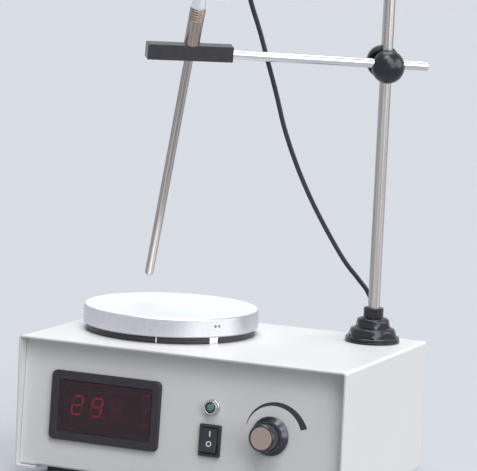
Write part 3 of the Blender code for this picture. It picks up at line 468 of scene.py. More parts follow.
def through_rings(rings, closed=False, capped=False):
    """A mesh through rings of points; a ring of one point is a pole."""
    bm = bmesh.new()
    loops = [[bm.verts.new(point) for point in ring] for ring in rings]
    pairs = list(zip(loops, loops[1:]))
    if closed:
        pairs.append((loops[-1], loops[0]))
    for low, high in pairs:
        count = max(len(low), len(high))
        for i in range(count):
            j = (i + 1) % count
            a, b = low[i % len(low)], low[j % len(low)]
            c, d = high[j % len(high)], high[i % len(high)]
            bm.faces.new(tuple(dict.fromkeys((a, b, c, d))))
    if capped:
        bm.faces.new(loops[0][::-1])
        bm.faces.new(loops[-1])
    return mesh_of(bm)


def levelled(levels, centre, steps=6):
    """Rings along Y from levels of (width, height, corner, depth)."""
    return [
        [(a, depth, b) for a, b in rectangle(width, height, centre, corner, steps)]
        for width, height, corner, depth in levels
    ]


def block(levels, centre, steps=6):
    return through_rings(levelled(levels, centre, steps), capped=True)


def turned(profile, steps=96, closed=False, flutes=None):
    """A mesh turned about Z; flutes are (count, depth, lowest, highest) of a grip."""
    rings = []
    for r, z in profile:
        if r < 1e-7:
            rings.append([(0, 0, z)])
            continue
        ring = []
        for i in range(steps):
            a = 2 * math.pi * i / steps
            cut = 0
            if flutes and flutes[2] <= z <= flutes[3]:
                cut = flutes[1] * (0.5 - 0.5 * math.cos(flutes[0] * a))
            ring.append(((r - cut) * math.cos(a), (r - cut) * math.sin(a), z))
        rings.append(ring)
    return through_rings(rings, closed)


def shaped(name, mesh, made, placing=None, **edges):
    return smoothed(stood(name, mesh, made, placing=placing), **edges)


def turned_part(name, points, radii, made, placing, steps=96, flutes=None):
    return shaped(name, turned(filleted(points, radii, 4), steps, flutes=flutes), made, placing)


def repeated(name, mesh, spots, made, turn=0.0, seed=1):
    """Copies of a small mesh, by geometry nodes, each turned about Z by chance."""
    tree, given, sockets = node_group(
        f"{name}_set_out", Geometry="Geometry", Part="Object", Turn="Float", Seed="Int"
    )
    source = added(tree, "GeometryNodeObjectInfo", {"Object": given["Part"]})
    angle = added(tree, "FunctionNodeRandomValue", {3: given["Turn"], "Seed": given["Seed"]})
    about = added(tree, "ShaderNodeCombineXYZ", {"Z": angle.outputs[1]})
    repeat = added(tree, "GeometryNodeInstanceOnPoints", {
        "Points": given["Geometry"],
        "Instance": source.outputs["Geometry"],
        "Rotation": about.outputs["Vector"],
    })
    pattern = stood(f"{name}_pattern", mesh)
    points = bpy.data.meshes.new("points")
    points.from_pydata([tuple(spot) for spot in spots], [], [])
    obj = stood(name, points)
    copies = repeat.outputs["Instances"]
    grown(obj, tree, sockets, copies, made, Part=pattern, Turn=turn, Seed=seed)
    bpy.data.objects.remove(pattern, do_unlink=True)
    return smoothed(obj)


def make_inlet():
    x, z = INLET_PLACE
    inlet_levels = mm([
        (27, 19.6, 0.6, -17.5), (27, 19.6, 0.6, 0.3), (31, 24, 3, 0.3), (31, 24, 3, 2.4),
        (30.7, 23.7, 2.9, 2.8), (30, 23, 2.6, 3),
    ])
    cavity_corners = mm([
        (0, -8.2), (12, -8.2), (12, 4), (7.8, 8.2), (-7.8, 8.2), (-12, 4), (-12, -8.2), (0, -8.2),
    ])
    cavity = [(x + a, z + b) for a, b in filleted(cavity_corners, 0.0008, 3)[:-1]]
    inlet = stood("mains_socket", block(inlet_levels, INLET_PLACE), black_plastic, placing=rear)
    return smoothed(combine(inlet, [prism([cavity], -0.0150, 0.0060, "Y", rear)]))


def make_blades():
    x, z = INLET_PLACE
    blade_levels = mm([
        (2, 4, 0.3, -15.2), (2, 4, 0.3, -2.2), (1.7, 3.6, 0.3, -1.4), (0.9, 2.6, 0.3, -1),
    ])
    pins = ((-0.0070, -0.0010), (0.0070, -0.0010), (0, 0.0030))
    spots = [(x + a, REAR_FACE, z + b) for a, b in pins]
    return repeated("mains_blades", block(blade_levels, (0, 0), 3), spots, plated)


fitted(make_inlet(), "stirrer", "black_plastic", "mains_inlet")
fitted(make_blades(), "stirrer", "steel")

facing_back = spun(-90, "X")


def on_rear(across, up):
    return rear @ moved(across, 0, up) @ facing_back


fuse_at = on_rear(*FUSE_PLACE)
fuse_body = mm([
    (0, -30), (5, -30), (6.2, -26), (6.2, 0.3), (8.8, 0.3), (8.8, 2.4), (5.8, 2.4), (5.8, -10),
    (0, -10),
])
fuse_radii = mm([0.4, 0.6, 0, 0.2, 0.6, 0.2, 0, 0])
fuse_cap = mm([
    (0, -9.6), (5.2, -9.6), (5.2, 2.8), (7.2, 2.8), (7.2, 5), (7.1, 10), (7.1, 12.2), (0, 12.2),
])
fitted(
    turned_part("fuse_carrier", fuse_body, fuse_radii, black_plastic, fuse_at),
    "stirrer", "black_plastic", "fuse_holder",
)


def make_fuse_cap():
    rim = filleted(fuse_cap, (0.0004, 0, 0.0003, 0, 0, 0.0008), 4)
    mesh = turned(rim, 144, flutes=(24, 0.0005, 0.0045, 0.0119))
    cap = stood("fuse_screw_cap", mesh, black_plastic, placing=fuse_at)
    slot_at = fuse_at @ Matrix.Rotation(0.5, 4, "Z")
    slot = prism([rectangle(0.0100, 0.0014)], 0.0110, 0.0150, placing=slot_at)
    return smoothed(combine(cap, [slot]))


fitted(make_fuse_cap(), "stirrer", "black_plastic", "fuse_cap")

socket_at = on_rear(*SOCKET_PLACE)
socket_body = mm([
    (0, -12), (7.8, -12), (7.8, 0.3), (10, 0.3), (10, 1.4), (9.2, 2), (6.8, 2), (6.8, 6),
    (5.8, 6), (5.8, -6), (0, -6),
])
socket_radii = mm([0.3, 0, 0.1, 0.2, 0.3, 0.2, 0.3, 0.2, 0.2])
fitted(
    turned_part("probe_socket", socket_body, socket_radii, plated, socket_at),
    "stirrer", "steel", "sensor_socket",
)


# Cover: a second bent sheet, the top and both sides in one, slides over the chassis.
# Lips turned in underneath take its screws; it wears the same enamel.

CASE_HALF = 0.117
COVER_LIP = 0.014
ROD_CENTRE = (0.086, 0.053)
PLATE_CENTRE = (-0.0443, 0.0066)


def make_cover():
    path = [
        (CASE_HALF - COVER_LIP, CASE_LOW), (CASE_HALF, CASE_LOW), (CASE_HALF, CASE_TOP),
        (-CASE_HALF, CASE_TOP), (-CASE_HALF, CASE_LOW), (-CASE_HALF + COVER_LIP, CASE_LOW),
    ]
    cover = stood("cover_sheet", prism([sheet_section(path)], CASE_FRONT, CASE_BACK, "Y"), enamel)
    screws = [disc(SCREW_HOLE, spot, 20) for spot in SCREW_PLACES]
    wires = disc(0.005, (PLATE_CENTRE[0] + 0.030, PLATE_CENTRE[1]))
    combine(cover, [
        prism(screws, CASE_LOW - 0.002, CASE_LOW + 0.004),
        prism([wires, disc(0.0032, ROD_CENTRE)], CASE_TOP - 0.004, CASE_TOP + 0.002),
    ])
    return smoothed(cover, bevel=0.00018, bevel_over=60)


fitted(make_cover(), "stirrer", "cream_paint", "cover")


# Cover screws and feet: plated cross-head screws go up through the cover's lips, and four
# turned rubber feet carry the case.

rubber = finish("rubber", (0.022, 0.022, 0.023), 0.75)
grained(rubber, 0.008, ((0.018, 0.018, 0.019), (0.030, 0.030, 0.031)), (0.65, 0.85))
grained(rubber, 0.0006, bump=0.00003)
FOOT_SPOTS = [(0.089 * sx, 0.060 * sy, 0) for sx in (-1, 1) for sy in (-1, 1)]
CORNERS = ("front_left", "front_right", "rear_left", "rear_right")


def cross_head_screw(shank, head, head_high, length, recess):
    """A screw that stands on its head: the head's foot is at zero, the shank points up."""
    points = [
        (0, 0), (head * 0.80, 0), (head, head_high * 0.40), (head, head_high),
        (shank, head_high), (shank, length - shank * 0.4), (shank * 0.6, length), (0, length),
    ]
    radii = (head_high * 0.3, head_high * 0.3, 0.0001, 0.0001, 0.0001, 0)
    screw = stood("screw_pattern", turned(filleted(points, radii, 4), 48))
    arms = [rectangle(recess, recess * 0.24), rectangle(recess * 0.24, recess)]
    return mesh_alone(combine(screw, [prism([arm], -0.001, head_high * 0.55) for arm in arms]))


def make_feet():
    top = 0.0112
    points = [
        (0, 0.0006), (0.0062, 0.0006), (0.0066, 0), (0.0095, 0), (0.0103, 0.0008),
        (0.0110, top - 0.0006), (0.0106, top), (0, top),
    ]
    radii = (0.0002, 0.0002, 0.0006, 0.0006, 0.0004, 0.0002)
    return repeated("feet", turned(filleted(points, radii, 4), 80), FOOT_SPOTS, rubber)


cover_screw = cross_head_screw(0.0014, 0.0028, 0.0018, 0.0088, 0.0030)
screw_spots = [(x, y, 0.0079) for x, y in SCREW_PLACES]
fitted(
    repeated("cover_screws", cover_screw, screw_spots, plated, turn=1.5, seed=3),
    "stirrer", "steel", *[f"cover_screw_{corner}" for corner in CORNERS],
)
fitted(make_feet(), "stirrer", "rubber", *[f"foot_{corner}" for corner in CORNERS])


# Plate supports: three aluminium blocks lift the hot plate off the cover, and a black
# heat-resisting ring, notched round them, closes the gap below its rim. A clip joins its ends.

PLATE_LOW, PLATE_HIGH = 0.1035, 0.1165
PLATE_RADIUS = 0.060
POST_RADIUS = 0.054
POST_ANGLES = (325, 85, 205)
POST_SIZE = (0.0070, 0.0073)
RING_SPLIT = 285
plate_at = moved(*PLATE_CENTRE, 0)

aluminium = finish("aluminium", (0.83, 0.83, 0.84), 0.30, 1.0)
plate_tints = ((0.79, 0.79, 0.80), (0.86, 0.86, 0.87))
grained(aluminium, 0.012, plate_tints, (0.25, 0.36), placing=plate_at)
grained(aluminium, 0.0006, bump=0.000006, placing=plate_at)


def make_posts():
    bm = bmesh.new()
    outline = rectangle(*POST_SIZE, (POST_RADIUS, 0), 0.0009, 4)
    levels = CASE_TOP + 0.0001, PLATE_LOW - 0.0001
    for angle in POST_ANGLES:
        bm.from_mesh(prism([outline], *levels, placing=plate_at @ spun(angle)))
    return shaped("plate_posts", mesh_of(bm), aluminium, bevel=0.0003, bevel_over=70)


def make_clip():
    inner, outer = 0.0490, 0.0578
    outline = rectangle(outer - inner, 0.0009, ((inner + outer) / 2, 0))
    levels = CASE_TOP + 0.0004, PLATE_LOW - 0.0004
    clip = prism([outline], *levels, placing=plate_at @ spun(RING_SPLIT))
    return shaped("ring_clip", clip, aluminium, bevel=0.0001)


def make_ring():
    low, high = CASE_TOP + 0.0003, PLATE_LOW - 0.0003
    inner, outer, edge = 0.0460, 0.0579, 0.0003
    profile = [
        (inner, low), (outer - edge, low), (outer, low + edge),
        (outer, high - edge), (outer - edge, high), (inner, high),
    ]
    ring = stood("plate_ring", turned(profile, 180, closed=True), black_plastic, placing=plate_at)
    notch = rectangle(0.014, 0.0078, (POST_RADIUS + 0.0026, 0), 0.0004)
    split = rectangle(0.020, 0.0011, (0.052, 0))
    places = [(notch, angle) for angle in POST_ANGLES] + [(split, RING_SPLIT)]
    return smoothed(combine(ring, [
        prism([outline], low - 0.001, high + 0.001, placing=plate_at @ spun(angle))
        for outline, angle in places
    ]))


fitted(make_posts(), "stirrer", "aluminium", *[f"plate_standoff_{i}" for i in (1, 2, 3)])
fitted(make_ring(), "stirrer", "black_plastic", "insulating_ring")
fitted(make_clip(), "stirrer", "aluminium")


# Hot plate: a dished disc turned from aluminium. Its top keeps the fine circles of the
# facing cut, its rim is polished, and two small holes in the side take a thermometer.

# Top and side are one aluminium: the top's paler tone and the side's darker, lilac tone are
# painted light and shade.
plate_side = finish("plate_side", (0.66, 0.65, 0.68), 0.28, 1.0)
plate_top = finish("plate_top", (0.80, 0.81, 0.83), 0.48, 1.0)
FACED_RADIUS = 0.0553


def from_axis(tree, placing):
    """The distance from the piece's own axis, and the height along it."""
    place = local_place(tree, placing)
    parts = added(tree, "ShaderNodeSeparateXYZ", {"Vector": place}).outputs
    flat = added(tree, "ShaderNodeCombineXYZ", {"X": parts["X"], "Y": parts["Y"]})
    radius = added(tree, "ShaderNodeVectorMath", {0: flat.outputs["Vector"]}, operation="LENGTH")
    return radius.outputs["Value"], parts["Z"]


def turning_marks(made, placing, pitch, height, rough):
    """Fine circles round the piece's axis, in its relief and its roughness."""
    tree = made.node_tree
    along = arithmetic(tree, "ADD", *from_axis(tree, placing))
    settings = {"Scale": 1 / pitch, "Detail": 4, "W": along}
    marks = added(tree, "ShaderNodeTexNoise", settings, noise_dimensions="1D").outputs["Fac"]
    raised(tree, marks, height)
    feed(tree, spread(tree, marks, *rough), "Roughness")


def ringed(made, placing, radii, colours):
    """Colours that change softly with the distance from the piece's axis."""
    tree = made.node_tree
    reach = {"Value": from_axis(tree, placing)[0], "From Max": radii[-1]}
    far = added(tree, "ShaderNodeMapRange", reach).outputs["Result"]
    ramp = added(tree, "ShaderNodeValToRGB", {"Fac": far})
    stops = ramp.color_ramp.elements
    while len(stops) < len(radii):
        stops.new(1.0)
    for stop, radius, colour in zip(stops, radii, colours):
        stop.position = radius / radii[-1]
        stop.color = (*colour, 1)
    feed(tree, ramp.outputs["Color"], "Base Color")


# The side's lilac tints carry the same painted shade.
grained(plate_side, 0.0008, ((0.60, 0.59, 0.62), (0.72, 0.71, 0.74)), placing=plate_at)
turning_marks(plate_side, plate_at, 0.0005, 0.000003, (0.30, 0.44))
ringed(
    plate_top, plate_at, (0, FACED_RADIUS - 0.0006, FACED_RADIUS, PLATE_RADIUS),
    ((0.90, 0.91, 0.92), (0.87, 0.88, 0.89), (0.92, 0.93, 0.94), (0.92, 0.93, 0.94)),
)
turning_marks(plate_top, plate_at, 0.0005, 0.000004, (0.42, 0.56))


def make_plate():
    hollow, ceiling, edge = 0.0505, PLATE_LOW + 0.0080, 0.0009
    points = [
        (0, PLATE_HIGH), (PLATE_RADIUS - edge, PLATE_HIGH), (PLATE_RADIUS, PLATE_HIGH - edge),
        (PLATE_RADIUS, PLATE_LOW + edge), (PLATE_RADIUS - edge, PLATE_LOW), (hollow, PLATE_LOW),
        (hollow, ceiling), (0, ceiling),
    ]
    profile = filleted(points, (0.0005, 0.0005, 0.0005, 0.0005, 0.0003, 0.0003), 3)
    plate = stood("heated_plate", turned(profile, 240), plate_side, plate_top, placing=plate_at)
    hole = disc(0.0008, (0, PLATE_LOW + 0.0077), 20)
    smoothed(combine(plate, [
        prism([hole], PLATE_RADIUS - 0.004, PLATE_RADIUS + 0.001, "X", plate_at @ spun(degrees))
        for degrees in (324.2, 326.9)
    ]), crease=25)
    for face in plate.data.polygons:
        face.material_index = int(face.normal.z > 0.9 and face.center.z > PLATE_HIGH - 0.0002)
    return plate


fitted(make_plate(), "stirrer", "aluminium", "hot_plate")


# Heater: a strip wound on mica lies in the plate's hollow. A mineral-wool board keeps its heat
# off the case, and a plated steel disc holds both up.

mica = finish("mica", (0.40, 0.31, 0.19), 0.40)
grained(mica, 0.005, ((0.34, 0.26, 0.15), (0.46, 0.37, 0.24)), placing=plate_at)
turning_marks(mica, plate_at, 0.004, 0.0003, (0.30, 0.55))
wool_board = finish("wool_board", (0.66, 0.63, 0.57), 0.90)
grained(wool_board, 0.0016, ((0.56, 0.53, 0.47), (0.74, 0.71, 0.66)), (0.85, 0.95), 0.0001)


def dressed(made, *nodes):
    """Gives its finish to a CAD solid that stays as it is."""
    for node in nodes:
        for one in frame["nodes"][node].material_slots:
            one.material = made


dressed(mica, "heater_element")
dressed(wool_board, "insulation_disc")
dressed(plated, "heater_retainer")


# Stirring drive: a plated motor hangs from a bent, zinc-coated bracket, and its ground shaft
# turns an aluminium bar with two ferrite magnets close under the cover.

zinc_coat = finish("zinc_coat", (0.58, 0.59, 0.61), 0.38, 1.0)
zinc_tints = ((0.50, 0.51, 0.53), (0.66, 0.67, 0.69))
grained(zinc_coat, 0.009, zinc_tints, (0.28, 0.48), 0.00002, detail=5)
motor_can = finish("motor_can", (0.50, 0.50, 0.51), 0.34, 1.0)
grained(motor_can, 0.007, ((0.45, 0.45, 0.46), (0.55, 0.55, 0.57)), placing=plate_at)
turning_marks(motor_can, plate_at, 0.0008, 0.000006, (0.26, 0.42))
ground_steel = finish("ground_steel", (0.60, 0.60, 0.61), 0.22, 1.0)
shaft_tints = ((0.52, 0.52, 0.53), (0.68, 0.68, 0.69))
grained(ground_steel, 0.0012, shaft_tints, (0.16, 0.30), stretch=(1, 1, 0.1), placing=plate_at)
ferrite = finish("ferrite", (0.045, 0.045, 0.050), 0.55)
grained(ferrite, 0.0014, ((0.035, 0.035, 0.040), (0.065, 0.065, 0.070)), (0.45, 0.65), 0.00002)
dressed(zinc_coat, "motor_bracket")
dressed(motor_can, "motor")
dressed(ground_steel, "motor_shaft")
dressed(aluminium, "magnet_holder")
dressed(ferrite, "magnet_left", "magnet_right")


# Display: a black moulded bezel with a sleeve that snaps into the panel, a smoked red window
# and, behind it, a board with a row of seven-segment figures, two of them lit.

clear = {"Transmission Weight": 0.90, "IOR": 1.45}
smoked = finish("smoked_red", (0.15, 0.020, 0.050), 0.10, sockets=clear)
grained(smoked, 0.010, ((0.135, 0.018, 0.045), (0.17, 0.024, 0.058)), (0.08, 0.14))
glow = {"Emission Color": (1.0, 0.10, 0.09, 1), "Emission Strength": 1.15}
lit = finish("lit_segment", (0.60, 0.02, 0.01), 0.4, sockets=glow)
grained(lit, 0.002, ((0.55, 0.02, 0.01), (0.70, 0.03, 0.02)), (0.3, 0.5))
# The unlit segments, and the indicator lenses that share their finish, glow faintly red: painted
# light.
painted_glow = {"Emission Color": (1.0, 0.12, 0.10, 1), "Emission Strength": 0.25}
unlit = finish("unlit_segment", (0.30, 0.06, 0.05), 0.5, sockets=painted_glow)
grained(unlit, 0.003, ((0.26, 0.05, 0.045), (0.34, 0.07, 0.06)), (0.4, 0.6))
circuit_board = finish("circuit_board", (0.02, 0.10, 0.05), 0.45)
grained(circuit_board, 0.004, ((0.015, 0.08, 0.04), (0.03, 0.13, 0.06)), (0.35, 0.55), 0.00002)

bezel_levels = mm([
    (80, 46.5, 3.8, -0.1), (80, 46.5, 3.8, -2.1), (79.8, 46.3, 3.7, -2.5),
    (79.3, 45.8, 3.5, -2.8), (78.6, 45.1, 3.2, -3), (68.8, 35.3, 0.8, -3),
    (68.3, 34.8, 0.6, -2.8), (68, 34.5, 0.5, -2.5), (68, 34.5, 0.5, 0.4), (72, 36, 0.6, 0.4),
    (72, 36, 0.6, 7), (75, 39, 1, 7), (75, 39, 1, -0.1),
])
window_levels = mm([(67.9, 34.4, 0.4, -0.6), (67.9, 34.4, 0.4, -2.6), (67.7, 34.2, 0.3, -2.8)])
board_levels = mm([(71, 35, 0.8, 10), (71, 35, 0.8, 11.6)])
module_levels = mm([(50, 19, 0.4, 10.8), (50, 19, 0.4, 1.4), (49.6, 18.6, 0.3, 1.2)])
FIGURE_WIDTH, FIGURE_HEIGHT = 0.0086, 0.0135
FIGURE_PITCH = 0.0144
FIGURE_SLANT = 0.14
FIGURE_START = (-0.0752, 0.0454)
SEGMENT = 0.0015
# The seven segments have their usual letters: a on top, then clockwise to f, and g across
SEGMENTS = {
    "a": ((-1, 1), (1, 1)), "f": ((-1, 0), (-1, 1)), "b": ((1, 0), (1, 1)),
    "g": ((-1, 0), (1, 0)), "e": ((-1, -1), (-1, 0)), "c": ((1, -1), (1, 0)),
    "d": ((-1, -1), (1, -1)),
}
LIT = ("abdeg", "abcdfg", "")
POINTED = 1


def segment_outline(middle, ends):
    """A bar with pointed ends between two corners of one slanted figure."""
    half = Vector((FIGURE_WIDTH / 2 - SEGMENT / 2, FIGURE_HEIGHT / 2 - SEGMENT / 2))
    a, b = [Vector((x * half.x, y * half.y)) for x, y in ends]
    way = (b - a).normalized()
    side = Vector((-way.y, way.x)) * SEGMENT / 2
    a, b = a + way * 0.0003, b - way * 0.0003
    tip = way * SEGMENT / 2
    corners = [a, a + tip + side, b - tip + side, b, b - tip - side, a + tip - side]
    return [(middle[0] + p.x + FIGURE_SLANT * p.y, middle[1] + p.y) for p in corners]


def make_figures(name, made, wanted):
    """The segments and points that are lit, or those that aren't."""
    outlines = []
    for figure, on in enumerate(LIT):
        x, y = FIGURE_START[0] + FIGURE_PITCH * figure, FIGURE_START[1]
        for part, ends in SEGMENTS.items():
            if (part in on) == wanted:
                outlines.append(segment_outline((x, y), ends))
        if wanted == (figure == POINTED):
            point = (x + FIGURE_WIDTH / 2 + 0.0011, y - FIGURE_HEIGHT / 2 + 0.0006)
            outlines.append(disc(0.0006, point, 16))
    return shaped(name, prism(outlines, 0.0010, 0.0013, "Y"), made, panel)


bezel = through_rings(levelled(bezel_levels, DISPLAY_PLACE, 8), closed=True)
fitted(
    shaped("display_frame", bezel, black_plastic, panel, crease=28),
    "stirrer", "black_plastic", "display_bezel",
)
module_at = (DISPLAY_PLACE[0], DISPLAY_PLACE[1] + 0.002)
pane = block(window_levels, DISPLAY_PLACE)
card = block(board_levels, DISPLAY_PLACE)
module = block(module_levels, module_at)
for name, mesh, made, slot, *nodes in (
    ("display_pane", pane, smoked, "smoked_red", "display_window"),
    ("display_card", card, circuit_board, "circuit_board", "display_board"),
    ("figure_block", module, black_plastic, "black_plastic"),
):
    fitted(shaped(name, mesh, made, panel, crease=28), "stirrer", slot, *nodes)
fitted(make_figures("figures_lit", lit, True), "stirrer", "smoked_red")
fitted(make_figures("figures_unlit", unlit, False), "stirrer", "smoked_red")
# These lenses take the unlit finish, whose faint glow is painted light.
lights = [disc(0.0013, (-0.0275, height), 20) for height in (0.0365, 0.0466, 0.0561)]
lenses = prism(lights, 0.0018, 0.0099, "Y")
fitted(shaped("indicator_lenses", lenses, unlit, panel), "stirrer", "smoked_red")


# Electrics: a transformer of stacked, varnished steel sheets and the control board, with its
# relay, heat sink and terminals, stand on the chassis floor.

laminated = finish("laminated_steel", (0.12, 0.11, 0.10), 0.45, 0.6)
core_tints = ((0.06, 0.055, 0.05), (0.20, 0.18, 0.16))
grained(laminated, 0.0006, core_tints, (0.35, 0.60), 0.00006, (60, 1, 60))
dressed(laminated, "transformer")
dressed(circuit_board, "control_board")


# Lamp: a chromed brass bezel, pushed into its hole in the panel. Its domed lens is moulded in
# clear green plastic and pressed into the bezel.

chrome = finish("chrome", (0.52, 0.52, 0.54), 0.16, 1.0)
grained(chrome, 0.008, ((0.48, 0.48, 0.50), (0.56, 0.56, 0.58)), (0.12, 0.22))
facing_front = spun(90, "X")


def on_panel(across, up):
    """A control's place, with Z out of the panel."""
    return panel @ moved(across, 0, up) @ facing_front


lamp_at = on_panel(*LAMP_PLACE)
coated = {"Transmission Weight": 0.35, "Coat Weight": 0.5, "Coat Roughness": 0.05}
green_glass = finish("green_lens", (0.03, 0.22, 0.12), 0.12, sockets=coated)
# The lens's pale centre and dark rim are painted light and shade, in colours that change with the
# distance from its axis.
ringed(green_glass, lamp_at, (0, 0.0012, 0.0022, 0.0028, 0.0034), (
    (0.10, 0.32, 0.21), (0.20, 0.42, 0.32), (0.07, 0.24, 0.16), (0.02, 0.10, 0.06),
    (0.01, 0.05, 0.03),
))
grained(green_glass, 0.0007, rough=(0.08, 0.24), bump=0.00005, placing=lamp_at)
lamp_body = mm([
    (0, -18), (4, -18), (4, 0.1), (5.3, 0.1), (5.3, 1.7), (4.7, 2), (4.5, 4.6), (3.6, 4.8),
    (3.6, 1.2), (0, 1.2),
])
lamp_radii = mm([0.3, 0, 0.1, 0.4, 0.3, 0.4, 0.3, 0.1])
fitted(
    turned_part("lamp_rim", lamp_body, lamp_radii, chrome, lamp_at, 64),
    "stirrer", "chrome", "lamp_bezel",
)


def dome(radius, rim, pole, steps):
    """The points of a dome from its rim to just under its pole."""
    turns = [QUARTER * i / steps for i in range(steps)]
    return [(radius * math.cos(a), rim + (pole - rim) * math.sin(a)) for a in turns]


def make_lens():
    radius, foot, rim, pole = 0.0034, 0.0013, 0.0034, 0.0052
    profile = [(0, foot), (radius, foot), *dome(radius, rim, pole, 12), (0, pole)]
    return shaped("lamp_dome", turned(profile, 64), green_glass, lamp_at)


fitted(make_lens(), "stirrer", "green_lens", "lamp_lens")


# Power switch: a black frame that snaps into the panel, and a glossier rocker that tips on
# its pivot, with the marks for on and off printed in white.

switch_black = finish("switch_black", (0.030, 0.031, 0.042), 0.36)
grained(switch_black, 0.005, ((0.027, 0.028, 0.038), (0.034, 0.035, 0.047)), (0.30, 0.42))
grained(switch_black, 0.0006, bump=0.000008)
white_print = finish("white_print", (0.80, 0.80, 0.80), 0.5)
grained(white_print, 0.0004, ((0.70, 0.70, 0.70), (0.86, 0.86, 0.86)), (0.4, 0.6))
ROCKER_HALF = 0.00545
ROCKER_RADIUS = 0.0083
ROCKER_AT = panel @ moved(SWITCH_PLACE[0], -0.0005, SWITCH_PLACE[1])
VALLEY = (-0.0024, 0.0008)
UPPER_EDGE, LOWER_EDGE = 16.5, 32.5


def make_switch_frame():
    body_levels = mm([(12.6, 19, 0.3, -0.1), (12.6, 19, 0.3, 16)])
    body = shaped("switch_block", block(body_levels, SWITCH_PLACE), switch_black, crease=28)
    flange = rectangle(0.0152, 0.0212, SWITCH_PLACE, 0.0010, 5)
    well = rectangle(0.0112, 0.0172, SWITCH_PLACE, 0.0003, 3)
    combine(body, [prism([flange], -0.0020, -0.0001, "Y")], "UNION")
    combine(body, [prism([well], -0.0040, 0.0095, "Y")])
    body.name = "switch_bezel"
    body.data.transform(panel)
    return smoothed(body, bevel=0.0003, segments=3)


def rim_point(degrees, side):
    """A point of the rocker's round back, its angle measured from straight up or down."""
    a = math.radians(degrees)
    return (-ROCKER_RADIUS * math.sin(a), side * ROCKER_RADIUS * math.cos(a))


def make_rocker():
    upper = [rim_point(UPPER_EDGE - 51.5 * i / 10, 1) for i in range(11)]
    lower = [rim_point(LOWER_EDGE - 67.5 + 67.5 * i / 10, -1) for i in range(11)]
    slopes = filleted([lower[-1], VALLEY, upper[0]], 0.010, 6)
    mesh = prism([[*slopes, *upper[1:], *lower[:-1]]], -ROCKER_HALF, ROCKER_HALF, "X")
    rocker = stood("switch_rocker", mesh, switch_black, placing=ROCKER_AT)
    return smoothed(rocker, bevel=0.00045, segments=3, bevel_over=40, crease=40)


def on_slope(top, share):
    """A place on the rocker's upper or lower face, its share of the way up from the valley."""
    corner = Vector(rim_point(UPPER_EDGE, 1) if top else rim_point(LOWER_EDGE, -1))
    valley = Vector(VALLEY)
    point = valley.lerp(corner, share)
    way = (corner - valley).normalized() * (1 if top else -1)
    x_axis, up = Vector((1, 0, 0)), Vector((0, way.x, way.y))
    turn = Matrix((x_axis, up, x_axis.cross(up))).transposed().to_4x4()
    return ROCKER_AT @ moved(0, point.x, point.y) @ turn


def make_marks():
    bar = rectangle(0.0010, 0.0038, (0.0004, 0), 0.0002, 3)
    ring_profile = mm([(1.2, -0.1), (1.2, 0.12), (1.9, 0.12), (1.9, -0.1)])
    ring = turned(ring_profile, 40, closed=True)
    ring.transform(on_slope(False, 0.36) @ moved(0.0003, 0, 0))
    bm = bmesh.new()
    bm.from_mesh(prism([bar], 0, 0.00012, placing=on_slope(True, 0.53)))
    bm.from_mesh(ring)
    return shaped("switch_marks", mesh_of(bm), white_print)


fitted(make_switch_frame(), "stirrer", "black_plastic", "switch_frame")
fitted(make_rocker(), "power_rocker", "black_plastic", "power_rocker")
fitted(make_marks(), "power_rocker", "black_plastic")


# Speed control: a potentiometer behind the panel, its nut, and a glossy moulded knob with a
# spun aluminium disc in its end. A wedge printed on the panel widens towards fast.

gloss = {"Specular IOR Level": 0.95, "Specular Tint": (0.86, 0.90, 1.0, 1)}
glossy_black = finish("glossy_black", (0.004, 0.004, 0.006), 0.20, sockets=gloss)
grained(glossy_black, 0.006, ((0.003, 0.003, 0.004), (0.007, 0.006, 0.009)), (0.15, 0.25))
grained(glossy_black, 0.0010, bump=0.000006)
knob_at = on_panel(*KNOB_PLACE)
knob_corners = mm([
    (0, 13.6), (3.3, 13.6), (3.3, 6), (8.5, 6), (8.5, 0.9), (12.8, 0.9), (12.8, 1.9), (12.2, 2.4),
    (9.7, 4.8), (9.2, 6.6), (8.9, 15.8), (8.2, 16.6), (7.5, 16.6), (7.5, 15.4), (0, 15.4),
])
knob_radii = mm([0, 0, 0.4, 0.2, 0.3, 0.4, 0.4, 0.8, 1, 0.6, 0.4, 0.1, 0, 0])
dressed(plated, "potentiometer", "potentiometer_nut", "potentiometer_shaft")
fitted(
    turned_part("speed_dial_knob", knob_corners, knob_radii, glossy_black, knob_at, 128),
    "speed_knob", "glossy_black", "speed_knob",
)
disc_metal = finish("knob_disc_metal", (0.45, 0.34, 0.30), 0.30, 1.0)
turning_marks(disc_metal, knob_at, 0.0003, 0.000004, (0.24, 0.40))
cap_corners = mm([(0, 15.4), (7.4, 15.4), (7.4, 16.4), (7.1, 16.4), (6.3, 16.2), (0, 16.2)])
fitted(
    turned_part("knob_disc", cap_corners, (0, 0.0002, 0.0001, 0.0001), disc_metal, knob_at),
    "speed_knob", "aluminium", "knob_cap",
)

# The print's screen leaves fine slanting lines, where the paint is a little paler
PRINT_PITCH, PRINT_SLANT = 0.0009, 0.8
WAVE_PITCH = 0.314
grey_print = finish("grey_print", (0.06, 0.06, 0.065), 0.5)
slanted = local_place(grey_print.node_tree, panel @ Matrix.Rotation(PRINT_SLANT, 4, "Y"))
lines = {"Scale": WAVE_PITCH / PRINT_PITCH, "Vector": slanted}
screen = added(grey_print.node_tree, "ShaderNodeTexWave", lines, wave_profile="SIN")
paler = ((0.024, 0.024, 0.030), (0.060, 0.060, 0.075))
two_tone(grey_print.node_tree, screen.outputs["Fac"], *paler)


